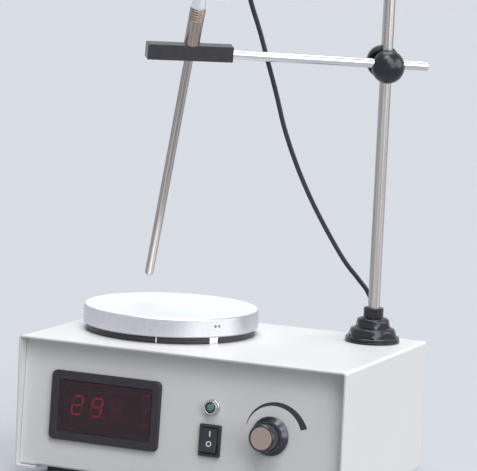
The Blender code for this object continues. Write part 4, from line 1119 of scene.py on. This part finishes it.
def make_dial_print():
    """A flat band that widens from the slow end to the fast end."""
    slow, fast, steps = 163.5, 17, 96
    front, back = -0.00004, 0.00002
    x, z = KNOB_PLACE[0] + 0.0007, KNOB_PLACE[1]
    rings = []
    for share in [i / steps for i in range(steps + 1)]:
        a = math.radians(slow + (fast - slow) * share)
        inner, outer = 0.0189 + 0.0017 * share, 0.0192 + 0.0060 * share
        rings.append([
            (x + radius * math.cos(a), y, z + radius * math.sin(a))
            for radius, y in ((inner, front), (outer, front), (outer, back), (inner, back))
        ])
    return shaped("dial_print", through_rings(rings, capped=True), grey_print, panel)


fitted(make_dial_print(), "stirrer", "cream_paint")


# Rod foot: one glossy black moulding that screws down on the cover. Two hexagonal tiers are
# turned down to domes at their corners, over a ridged flange and under a plain collar.

softer_gloss = {**gloss, "Specular IOR Level": 0.62}
moulded_black = finish("moulded_black", (0.004, 0.004, 0.006), 0.24, sockets=softer_gloss)
grained(moulded_black, 0.005, ((0.003, 0.003, 0.004), (0.007, 0.006, 0.008)), (0.19, 0.30))
grained(moulded_black, 0.0007, bump=0.000008)
stand_at = moved(*ROD_CENTRE, 0)


def bar_profile(radius, low, high):
    return [(0, low), (radius, low), (radius, high), (0, high)]


def tier_mesh(low, shoulder, high, corner, inner):
    """A bell-shaped turning cut to a hexagon, its corners at multiples of 60 degrees from +X."""
    flare = ((0.985, -0.05), (0.947, 0.15), (0.900, 0.42), (0.868, 0.74), (0.836, 1.0))
    bell = [(corner * across, low + up * (shoulder - low)) for across, up in flare]
    cone = [(0, low - 0.0005), (bell[0][0], low - 0.0005), *bell, (inner, high), (0, high)]
    profile = filleted(cone, (0, 0.0003, 0.004, 0.008, 0.0014, 0.0014, 0.0004), 5)
    hexagon = prism([disc(corner, steps=6)], low - 0.002, high + 0.002)
    return mesh_alone(combine(stood("tier", turned(profile, 180)), [hexagon], "INTERSECT"))


def make_foot():
    base, high, radius = CASE_TOP + 0.0001, 0.1028, 0.0187
    flange = [
        (0, base), (radius, base), (radius, base + 0.0015), (radius - 0.0007, base + 0.0019),
        (radius - 0.0003, base + 0.0023), (radius - 0.0003, high - 0.0004),
        (radius - 0.0010, high), (0, high),
    ]
    flange_radii = mm([0.3, 0.3, 0.2, 0.3, 0.4, 0.4])
    mesh = turned(filleted(flange, flange_radii, 4), 180)
    foot = stood("rod_foot_moulding", mesh, moulded_black)
    combine(foot, [
        tier_mesh(high, 0.1081, 0.1093, 0.0178, 0.0121),
        tier_mesh(0.1090, 0.1147, 0.1163, 0.0127, 0.0066),
        turned(filleted(bar_profile(0.0068, 0.1150, 0.1224), (0, 0.0004), 4), 120),
    ], "UNION")
    combine(foot, [prism([disc(0.0043, steps=64)], 0.1050, 0.1300)])
    foot.data.transform(stand_at)
    return smoothed(foot, crease=12)


fitted(make_foot(), "stirrer", "black_plastic", "rod_foot")


# Support rod: a bright bar of drawn steel with a lengthwise grain, its ends turned a
# little round. It stands in the foot's bore, where it can be turned.

rod_steel = finish("rod_steel", (0.48, 0.45, 0.43), 0.20, 1.0)
# The rod's lengthwise streaks are grain, and in their strong light and dark also painted
# reflection.
rod_grain_and_reflection_tints = ((0.25, 0.24, 0.24), (0.66, 0.61, 0.575))
grained(rod_steel, 0.0015, rod_grain_and_reflection_tints, (0.20, 0.32), stretch=(1, 1, 200), placing=stand_at)
grained(rod_steel, 0.0003, bump=0.000003, stretch=(1, 1, 60), placing=stand_at)
rod_corners = bar_profile(0.0040, 0.1053, 0.4000)
fitted(
    turned_part("stand_rod", rod_corners, 0.0006, rod_steel, stand_at),
    "support_rod", "rod_steel", "support_rod",
)


# Boss: two round black mouldings, one grooved for the upright rod and one for the arm. A
# socket screw sunk in the rear half squeezes them on to both.

ARM_RADIUS = 0.0032
BOSS_RADIUS = 0.0113
boss_at = stand_at @ moved(0, 0, 0.2891) @ spun(37)
arm_at = boss_at @ moved(0, -0.0078, 0) @ spun(1.6, "Y")
rear_half_at = boss_at @ moved(-0.0023, -0.0012, 0.0011) @ facing_back
front_half_at = arm_at @ moved(-0.0012, 0.0015, -0.0019) @ facing_front
boss_screw_at = boss_at @ moved(-0.0059, 0, -0.0052) @ facing_front


def round_bar(radius, low, high, placing, steps=64):
    mesh = turned(bar_profile(radius, low, high), steps)
    mesh.transform(placing)
    return mesh


def half_boss(name, depth, placing, cuts):
    """A domed half from its flat face at zero to its pole at depth."""
    rim = 0.0025
    foot = filleted([(0, 0), (BOSS_RADIUS, 0), (BOSS_RADIUS, rim - 0.0001)], 0.0006, 4)[:-1]
    profile = [*foot, *map(Vector, [*dome(BOSS_RADIUS, rim, depth, 18), (0, depth)])]
    half = stood(name, turned(profile, 128), moulded_black, placing=placing)
    return smoothed(combine(half, cuts), crease=25)


def make_boss_screw():
    screw_corners = mm([(0, -5.8), (2.6, -5.8), (2.6, -4), (1.5, -4), (1.5, 10.8), (0, 10.8)])
    profile = filleted(screw_corners, (0.0003, 0.0001, 0.0001, 0.0003), 3)
    screw = stood("boss_bolt", turned(profile, 48), plated)
    combine(screw, [prism([disc(0.0014, steps=6)], -0.0070, -0.0046)])
    screw.data.transform(boss_screw_at)
    return smoothed(screw)


way_corners = mm([(0, -20), (3, -20), (3, -3.7), (1.8, -3.7), (1.8, 8), (0, 8)])
screw_way = turned(way_corners, 40)
screw_way.transform(boss_screw_at)
rear_cuts = [round_bar(0.0043, -0.03, 0.03, boss_at), screw_way]
front_cuts = [
    round_bar(ARM_RADIUS + 0.0003, -0.03, 0.03, arm_at @ spun(90, "Y")),
    round_bar(0.0024, 0.002, 0.0111, boss_screw_at, 40),
]
rear_half = half_boss("boss_rear", 0.0122, rear_half_at, rear_cuts)
front_half = half_boss("boss_front", 0.0112, front_half_at, front_cuts)
fitted(rear_half, "boss", "black_plastic", "boss_rear_half")
fitted(front_half, "boss", "black_plastic", "boss_front_half")
fitted(make_boss_screw(), "boss", "steel", "boss_screw")


# Arm: a drawn steel bar, chromed. It slides through the boss, which clamps it, and its far
# end carries the probe's holder.

arm_chrome = finish("arm_chrome", (0.66, 0.64, 0.66), 0.14, 1.0)
arm_tints = ((0.60, 0.58, 0.60), (0.72, 0.70, 0.72))
grained(arm_chrome, 0.0010, arm_tints, (0.10, 0.20), stretch=(60, 1, 1), placing=arm_at)
arm_corners = bar_profile(ARM_RADIUS, -0.1250, 0.0267)
fitted(
    turned_part("arm_bar", arm_corners, 0.0005, arm_chrome, arm_at @ spun(90, "Y"), 80),
    "arm", "chrome", "arm_rod",
)


# Probe holder: a bar milled from aluminium and anodised black, its edges a little broken. It
# is bored at one end for the arm and across for the probe.

holder_at = arm_at @ spun(21.9, "X")
bar_at = arm_at @ moved(-0.112, 0, 0) @ spun(-1.2, "Y") @ moved(0.112, 0, 0) @ spun(11, "X")
probe_at = holder_at @ moved(-0.1378, 0, 0) @ spun(1.25, "Y")
sheen = {"Specular IOR Level": 0.66}
anodised = finish("anodised_black", (0.030, 0.028, 0.029), 0.24, sockets=sheen)
anodised_tints = ((0.024, 0.022, 0.023), (0.038, 0.035, 0.036))
grained(anodised, 0.006, anodised_tints, (0.20, 0.28), placing=bar_at)
grained(anodised, 0.0005, bump=0.000003, placing=bar_at)


def make_holder():
    left, right, depth, low, high = -0.1671, -0.1093, 0.0095, -0.00455, 0.00595
    outline = rectangle(right - left, depth, ((left + right) / 2, 0))
    bar = stood("holder_bar", prism([outline], low, high), anodised, placing=bar_at)
    edge = bar.modifiers.new("edge", "BEVEL")
    edge.width = 0.0005
    edge.segments = 3
    settled(bar)
    socket = round_bar(ARM_RADIUS + 0.0003, right - 0.016, 0.0, holder_at @ spun(90, "Y"))
    passage = round_bar(0.0033, -0.02, 0.02, probe_at)
    return smoothed(combine(bar, [socket, passage]), crease=28)


fitted(make_holder(), "holder", "black_plastic", "probe_holder")


# Probe: a ground steel stem under a ringed grip of satin nickel, a chromed collar and a
# tapered rubber sleeve that lets the lead out without a kink.

probe_steel = finish("probe_steel", (0.37, 0.33, 0.31), 0.24, 1.0)
# The stem's lengthwise streaks are grain, and in their strong light and dark also painted
# reflection.
stem_grain_and_reflection_tints = ((0.19, 0.175, 0.17), (0.60, 0.55, 0.52))
grained(probe_steel, 0.0011, stem_grain_and_reflection_tints, (0.20, 0.32), stretch=(1, 1, 200), placing=probe_at)
satin_nickel = finish("satin_nickel", (0.38, 0.31, 0.26), 0.28, 1.0)
grip_tints = ((0.30, 0.24, 0.20), (0.46, 0.38, 0.33))
grained(satin_nickel, 0.0012, grip_tints, (0.22, 0.36), stretch=(1, 1, 12), placing=probe_at)
GRIP_LOW, GRIP_CORE, GRIP_HIGH = 0.0060, 0.0171, 0.0316


def make_stem():
    radius, foot, head = 0.0030, -0.1703, GRIP_CORE - 0.0003
    turns = [QUARTER * i / 10 for i in range(11)]
    tip = [(radius * math.sin(a), foot + radius * (1 - math.cos(a))) for a in turns]
    mesh = turned([*tip, (radius, head), (0, head)], 72)
    return shaped("probe_rod", mesh, probe_steel, probe_at)


def make_grip():
    radius, bore = 0.0052, 0.0033
    groove, ridge = radius - 0.0006, radius + 0.0002
    points = [(0, GRIP_CORE), (bore, GRIP_CORE), (bore, GRIP_LOW), (radius, GRIP_LOW)]
    radii = [0, 0.0002, 0.0006]
    for i in range(4):
        z = GRIP_HIGH - 0.0074 + 0.0018 * i
        points += [(radius, z), (groove, z + 0.0004), (groove, z + 0.0008), (ridge, z + 0.0012)]
        radii += [0.0002, 0.0003, 0.0003, 0.0003]
    profile = filleted([*points, (radius, GRIP_HIGH), (0, GRIP_HIGH)], [*radii, 0.0005], 3)
    return shaped("probe_grip", turned(profile, 80), satin_nickel, probe_at, crease=40)


collar_low, collar_high = GRIP_HIGH + 0.0003, 0.04885
collar_corners = [
    (0, collar_low - 0.0002), (0.0046, collar_low - 0.0002), (0.0051, collar_low + 0.0008),
    (0.0049, collar_low + 0.0022), (0.0032, collar_low + 0.0085), (0.0031, collar_high),
    (0, collar_high),
]
sleeve_low = collar_high + 0.0003
sleeve_corners = [
    (0, sleeve_low - 0.0002), (0.0030, sleeve_low - 0.0002), (0.0030, sleeve_low + 0.0040),
    (0.0023, sleeve_low + 0.0220), (0, sleeve_low + 0.0220),
]
collar_radii = (0.0004, 0.0006, 0.0010, 0.0010, 0.0003)
fitted(make_stem(), "probe", "probe_steel", "probe_stem")
fitted(make_grip(), "probe", "satin_nickel", "probe_handle")
fitted(
    turned_part("probe_ferrule", collar_corners, collar_radii, aluminium, probe_at, 80),
    "probe", "chrome", "probe_collar",
)
fitted(
    turned_part("probe_sleeve", sleeve_corners, (0.0003, 0.0010, 0.0004), rubber, probe_at, 64),
    "probe", "rubber", "probe_strain_relief",
)


# Sensor cord: the probe's lead, a round cable in a dark blue-black jacket. It comes over the
# arm, hangs behind the rod and goes down behind the case to its socket. It is made in five
# stretches.

CORD_DIAMETER = 0.0032
CORD_STEP, CORD_GAP = 0.0015, 0.00003
CORD_ROUTE = mm([
    (-0.64, -55.27, 358.88), (3.6, -59.5, 374.5), (6.2, -58.5, 387.5), (7.8, -51.5, 396.5),
    (8.4, -42, 396.5), (8.4, -33, 387), (8.4, -25.5, 370), (9, -18, 349), (11, -9.2, 328),
    (15, -0.8, 308), (18.8, 6.2, 288), (22.9, 13.9, 266), (27, 21, 243), (32.5, 30, 220),
    (39.6, 40.2, 197), (48.1, 52.4, 173.9), (57.5, 66.5, 151), (64.5, 77.5, 137.5),
    (69, 86.2, 127.5), (72.1, 91.8, 114.9), (73.8, 93.5, 98), (74.2, 94, 70), (74.5, 95, 36),
    (75, 98.5, 15), (75.5, 108, 3.5), (74, 121, 1.9), (64, 135, 1.9), (45, 140, 1.9),
    (27, 134, 1.9), (19, 121, 3), (24, 113, 12), (34, 115, 26), (42.5, 115.5, 38.5),
    (44.9, 109.5, 45.5), (45, 105, 46), (45, 100.3, 46),
])
CORD_BREAKS = (0.0, 0.115, 0.185, 0.235, 0.322, 10.0)
CORD_POINTS = (23, 16, 15, 18, 38)
CORD_BODIES = ("probe", "holder", "arm", "boss", "support_rod", "stirrer")

cable = finish("dark_cable", (0.016, 0.019, 0.034), 0.42)
grained(cable, 0.004, ((0.013, 0.016, 0.029), (0.020, 0.023, 0.040)), (0.36, 0.50))
grained(cable, 0.0005, bump=0.00001)


def smooth_curve(points):
    """Close points along a smooth curve through the given ones."""
    padded = [points[0], *points, points[-1]]
    curve = []
    for before, start, end, after in zip(padded, padded[1:], padded[2:], padded[3:]):
        count = max(2, round((end - start).length / 0.0005))
        bend = 2 * before - 5 * start + 4 * end - after
        twist = 3 * start - before - 3 * end + after
        for t in [i / count for i in range(count)]:
            curve.append(start + (end - before) * t / 2 + bend * t * t / 2 + twist * t ** 3 / 2)
    return curve + [points[-1]]


def stretch_of(curve, start, end, count):
    """Evenly spaced points of the curve between two lengths along it."""
    lengths = [0.0]
    for a, b in zip(curve, curve[1:]):
        lengths.append(lengths[-1] + (b - a).length)
    end = min(end, lengths[-1])
    found = []
    i = 0
    for k in range(count):
        wanted = start + (end - start) * k / (count - 1)
        while i < len(lengths) - 2 and lengths[i + 1] < wanted:
            i += 1
        share = (wanted - lengths[i]) / (lengths[i + 1] - lengths[i])
        found.append(curve[i].lerp(curve[i + 1], min(1, max(0, share))))
    return found, end - start


def tube(points, radius, sides=20, ends=0.0003):
    """A closed round tube along points, with rims a little rounded at both ends."""
    ways = [points[1] - points[0]]
    ways += [after - before for before, after in zip(points, points[2:])]
    ways += [points[-1] - points[-2]]
    across = ways[0].orthogonal().normalized()
    turns = [2 * math.pi * k / sides for k in range(sides)]
    levels = [[(0, 1)] for point in points]
    levels[0] = [(0, 1 - ends / radius), (ends, 1)]
    levels[-1] = [(-ends, 1), (0, 1 - ends / radius)]
    rings = []
    for point, way, here in zip(points, ways, levels):
        way = way.normalized()
        across = (across - way * across.dot(way)).normalized()
        round_it = [across * math.cos(a) + way.cross(across) * math.sin(a) for a in turns]
        for along, share in here:
            rings.append([point + way * along + out * radius * share for out in round_it])
    return through_rings(rings, capped=True)


def make_cord():
    curve = smooth_curve([Vector(point) for point in CORD_ROUTE])
    whole = []
    for i, bodies in enumerate(zip(CORD_BODIES, CORD_BODIES[1:])):
        start, end = CORD_BREAKS[i] + (CORD_GAP if i else 0), CORD_BREAKS[i + 1]
        path, length = stretch_of(curve, start, end, CORD_POINTS[i])
        fine = stretch_of(curve, start, end, round(length / CORD_STEP))[0]
        lead = shaped(f"probe_lead_{i + 1}", tube(fine, CORD_DIAMETER / 2), cable, crease=40)
        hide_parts(f"sensor_cord_{i + 1}")
        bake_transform(lead)
        whole.append(length)
    return whole


cord_lengths = make_cord()
print("cord", [round(length, 4) for length in cord_lengths], round(sum(cord_lengths), 4))


# Sensor plug: a turned and plated shell, whose knurled ring screws on to the socket. Its
# tapered end clamps the lead.

plug_corners = mm([
    (0, -5.6), (5.4, -5.6), (5.4, 6.4), (7.8, 6.4), (8.2, 7), (8.2, 7.8), (8.2, 12.2), (8.2, 13),
    (7.6, 13.6), (6.4, 13.8), (6.4, 19), (5.2, 20), (3, 24), (0, 24),
])
plug_radii = mm([0.3, 0, 0.2, 0.2, 0, 0, 0.2, 0.2, 0.2, 0.4, 0.6, 0.4])
knurl = (45, 0.0003, 0.0076, 0.0124)
fitted(
    turned_part("lead_plug", plug_corners, plug_radii, plated, socket_at, 180, knurl),
    "stirrer", "steel", "sensor_plug",
)


# Bench and studio: a plain pale bench and backdrop, which metal and glass show as the camera
# does, and an arc of soft lights from the front over the top, with a broad one at the right.

BACKDROP = (0.690, 0.720, 0.770)
BENCH_TOP = (0.582, 0.605, 0.645)
BENCH_SHADE = (0.24, 0.24, 0.245)
SKY_COLOUR, SKY_STRENGTH = (0.97, 0.98, 1), 0.17


def seen_as_is(tree):
    """1 for what the camera, metal and glass show, and 0 for light that scatters."""
    rays = added(tree, "ShaderNodeLightPath").outputs
    mirrored = arithmetic(tree, "MAXIMUM", rays["Is Camera Ray"], rays["Is Glossy Ray"])
    return arithmetic(tree, "MAXIMUM", mirrored, rays["Is Transmission Ray"])


bench = finish("bench", BENCH_TOP, 0.9, sockets={"Specular IOR Level": 0.0})
two_tone(bench.node_tree, seen_as_is(bench.node_tree), BENCH_SHADE, BENCH_TOP)
floor_mesh = bpy.data.meshes.new("bench")
floor_mesh.from_pydata([(-9, -9, 0), (9, -9, 0), (9, 9, 0), (-9, 9, 0)], [], [(0, 1, 2, 3)])
stood("bench", floor_mesh, bench)

room = bpy.data.worlds.new("room")
scene.world = room
room.use_nodes = True
sky = room.node_tree
backdrop = sky.nodes["Background"]
backdrop.inputs["Color"].default_value = (*BACKDROP, 1)
sky_light = {"Color": (*SKY_COLOUR, 1), "Strength": SKY_STRENGTH}
scattered = added(sky, "ShaderNodeBackground", sky_light)
choose = added(sky, "ShaderNodeMixShader", {
    "Fac": seen_as_is(sky),
    1: scattered.outputs["Background"],
    2: backdrop.outputs["Background"],
})
sky.links.new(choose.outputs["Shader"], sky.nodes["World Output"].inputs["Surface"])


def far_light(name, way, strength, width, colour=(0.98, 0.99, 1)):
    """A wide soft light so far off that it is as strong everywhere; way points to it."""
    data = bpy.data.lights.new(name, "SUN")
    data.energy = strength
    data.angle = math.radians(width)
    data.color = colour
    obj = bpy.data.objects.new(name, data)
    obj.location = Vector(way)
    obj.rotation_euler = (-Vector(way)).to_track_quat("-Z", "Y").to_euler()
    scene.collection.objects.link(obj)


far_light("front_light", (0.592, -0.552, 0.588), 0.80, 30)
far_light("high_light", (0.180, -0.440, 0.880), 1.00, 26)
far_light("top_light", (-0.06, 0.22, 0.97), 1.55, 40)
far_light("right_light", (0.861, -0.477, 0.174), 0.55, 30)
far_light("side_light", (0.938, 0.190, 0.290), 1.10, 42, (1, 1, 1))
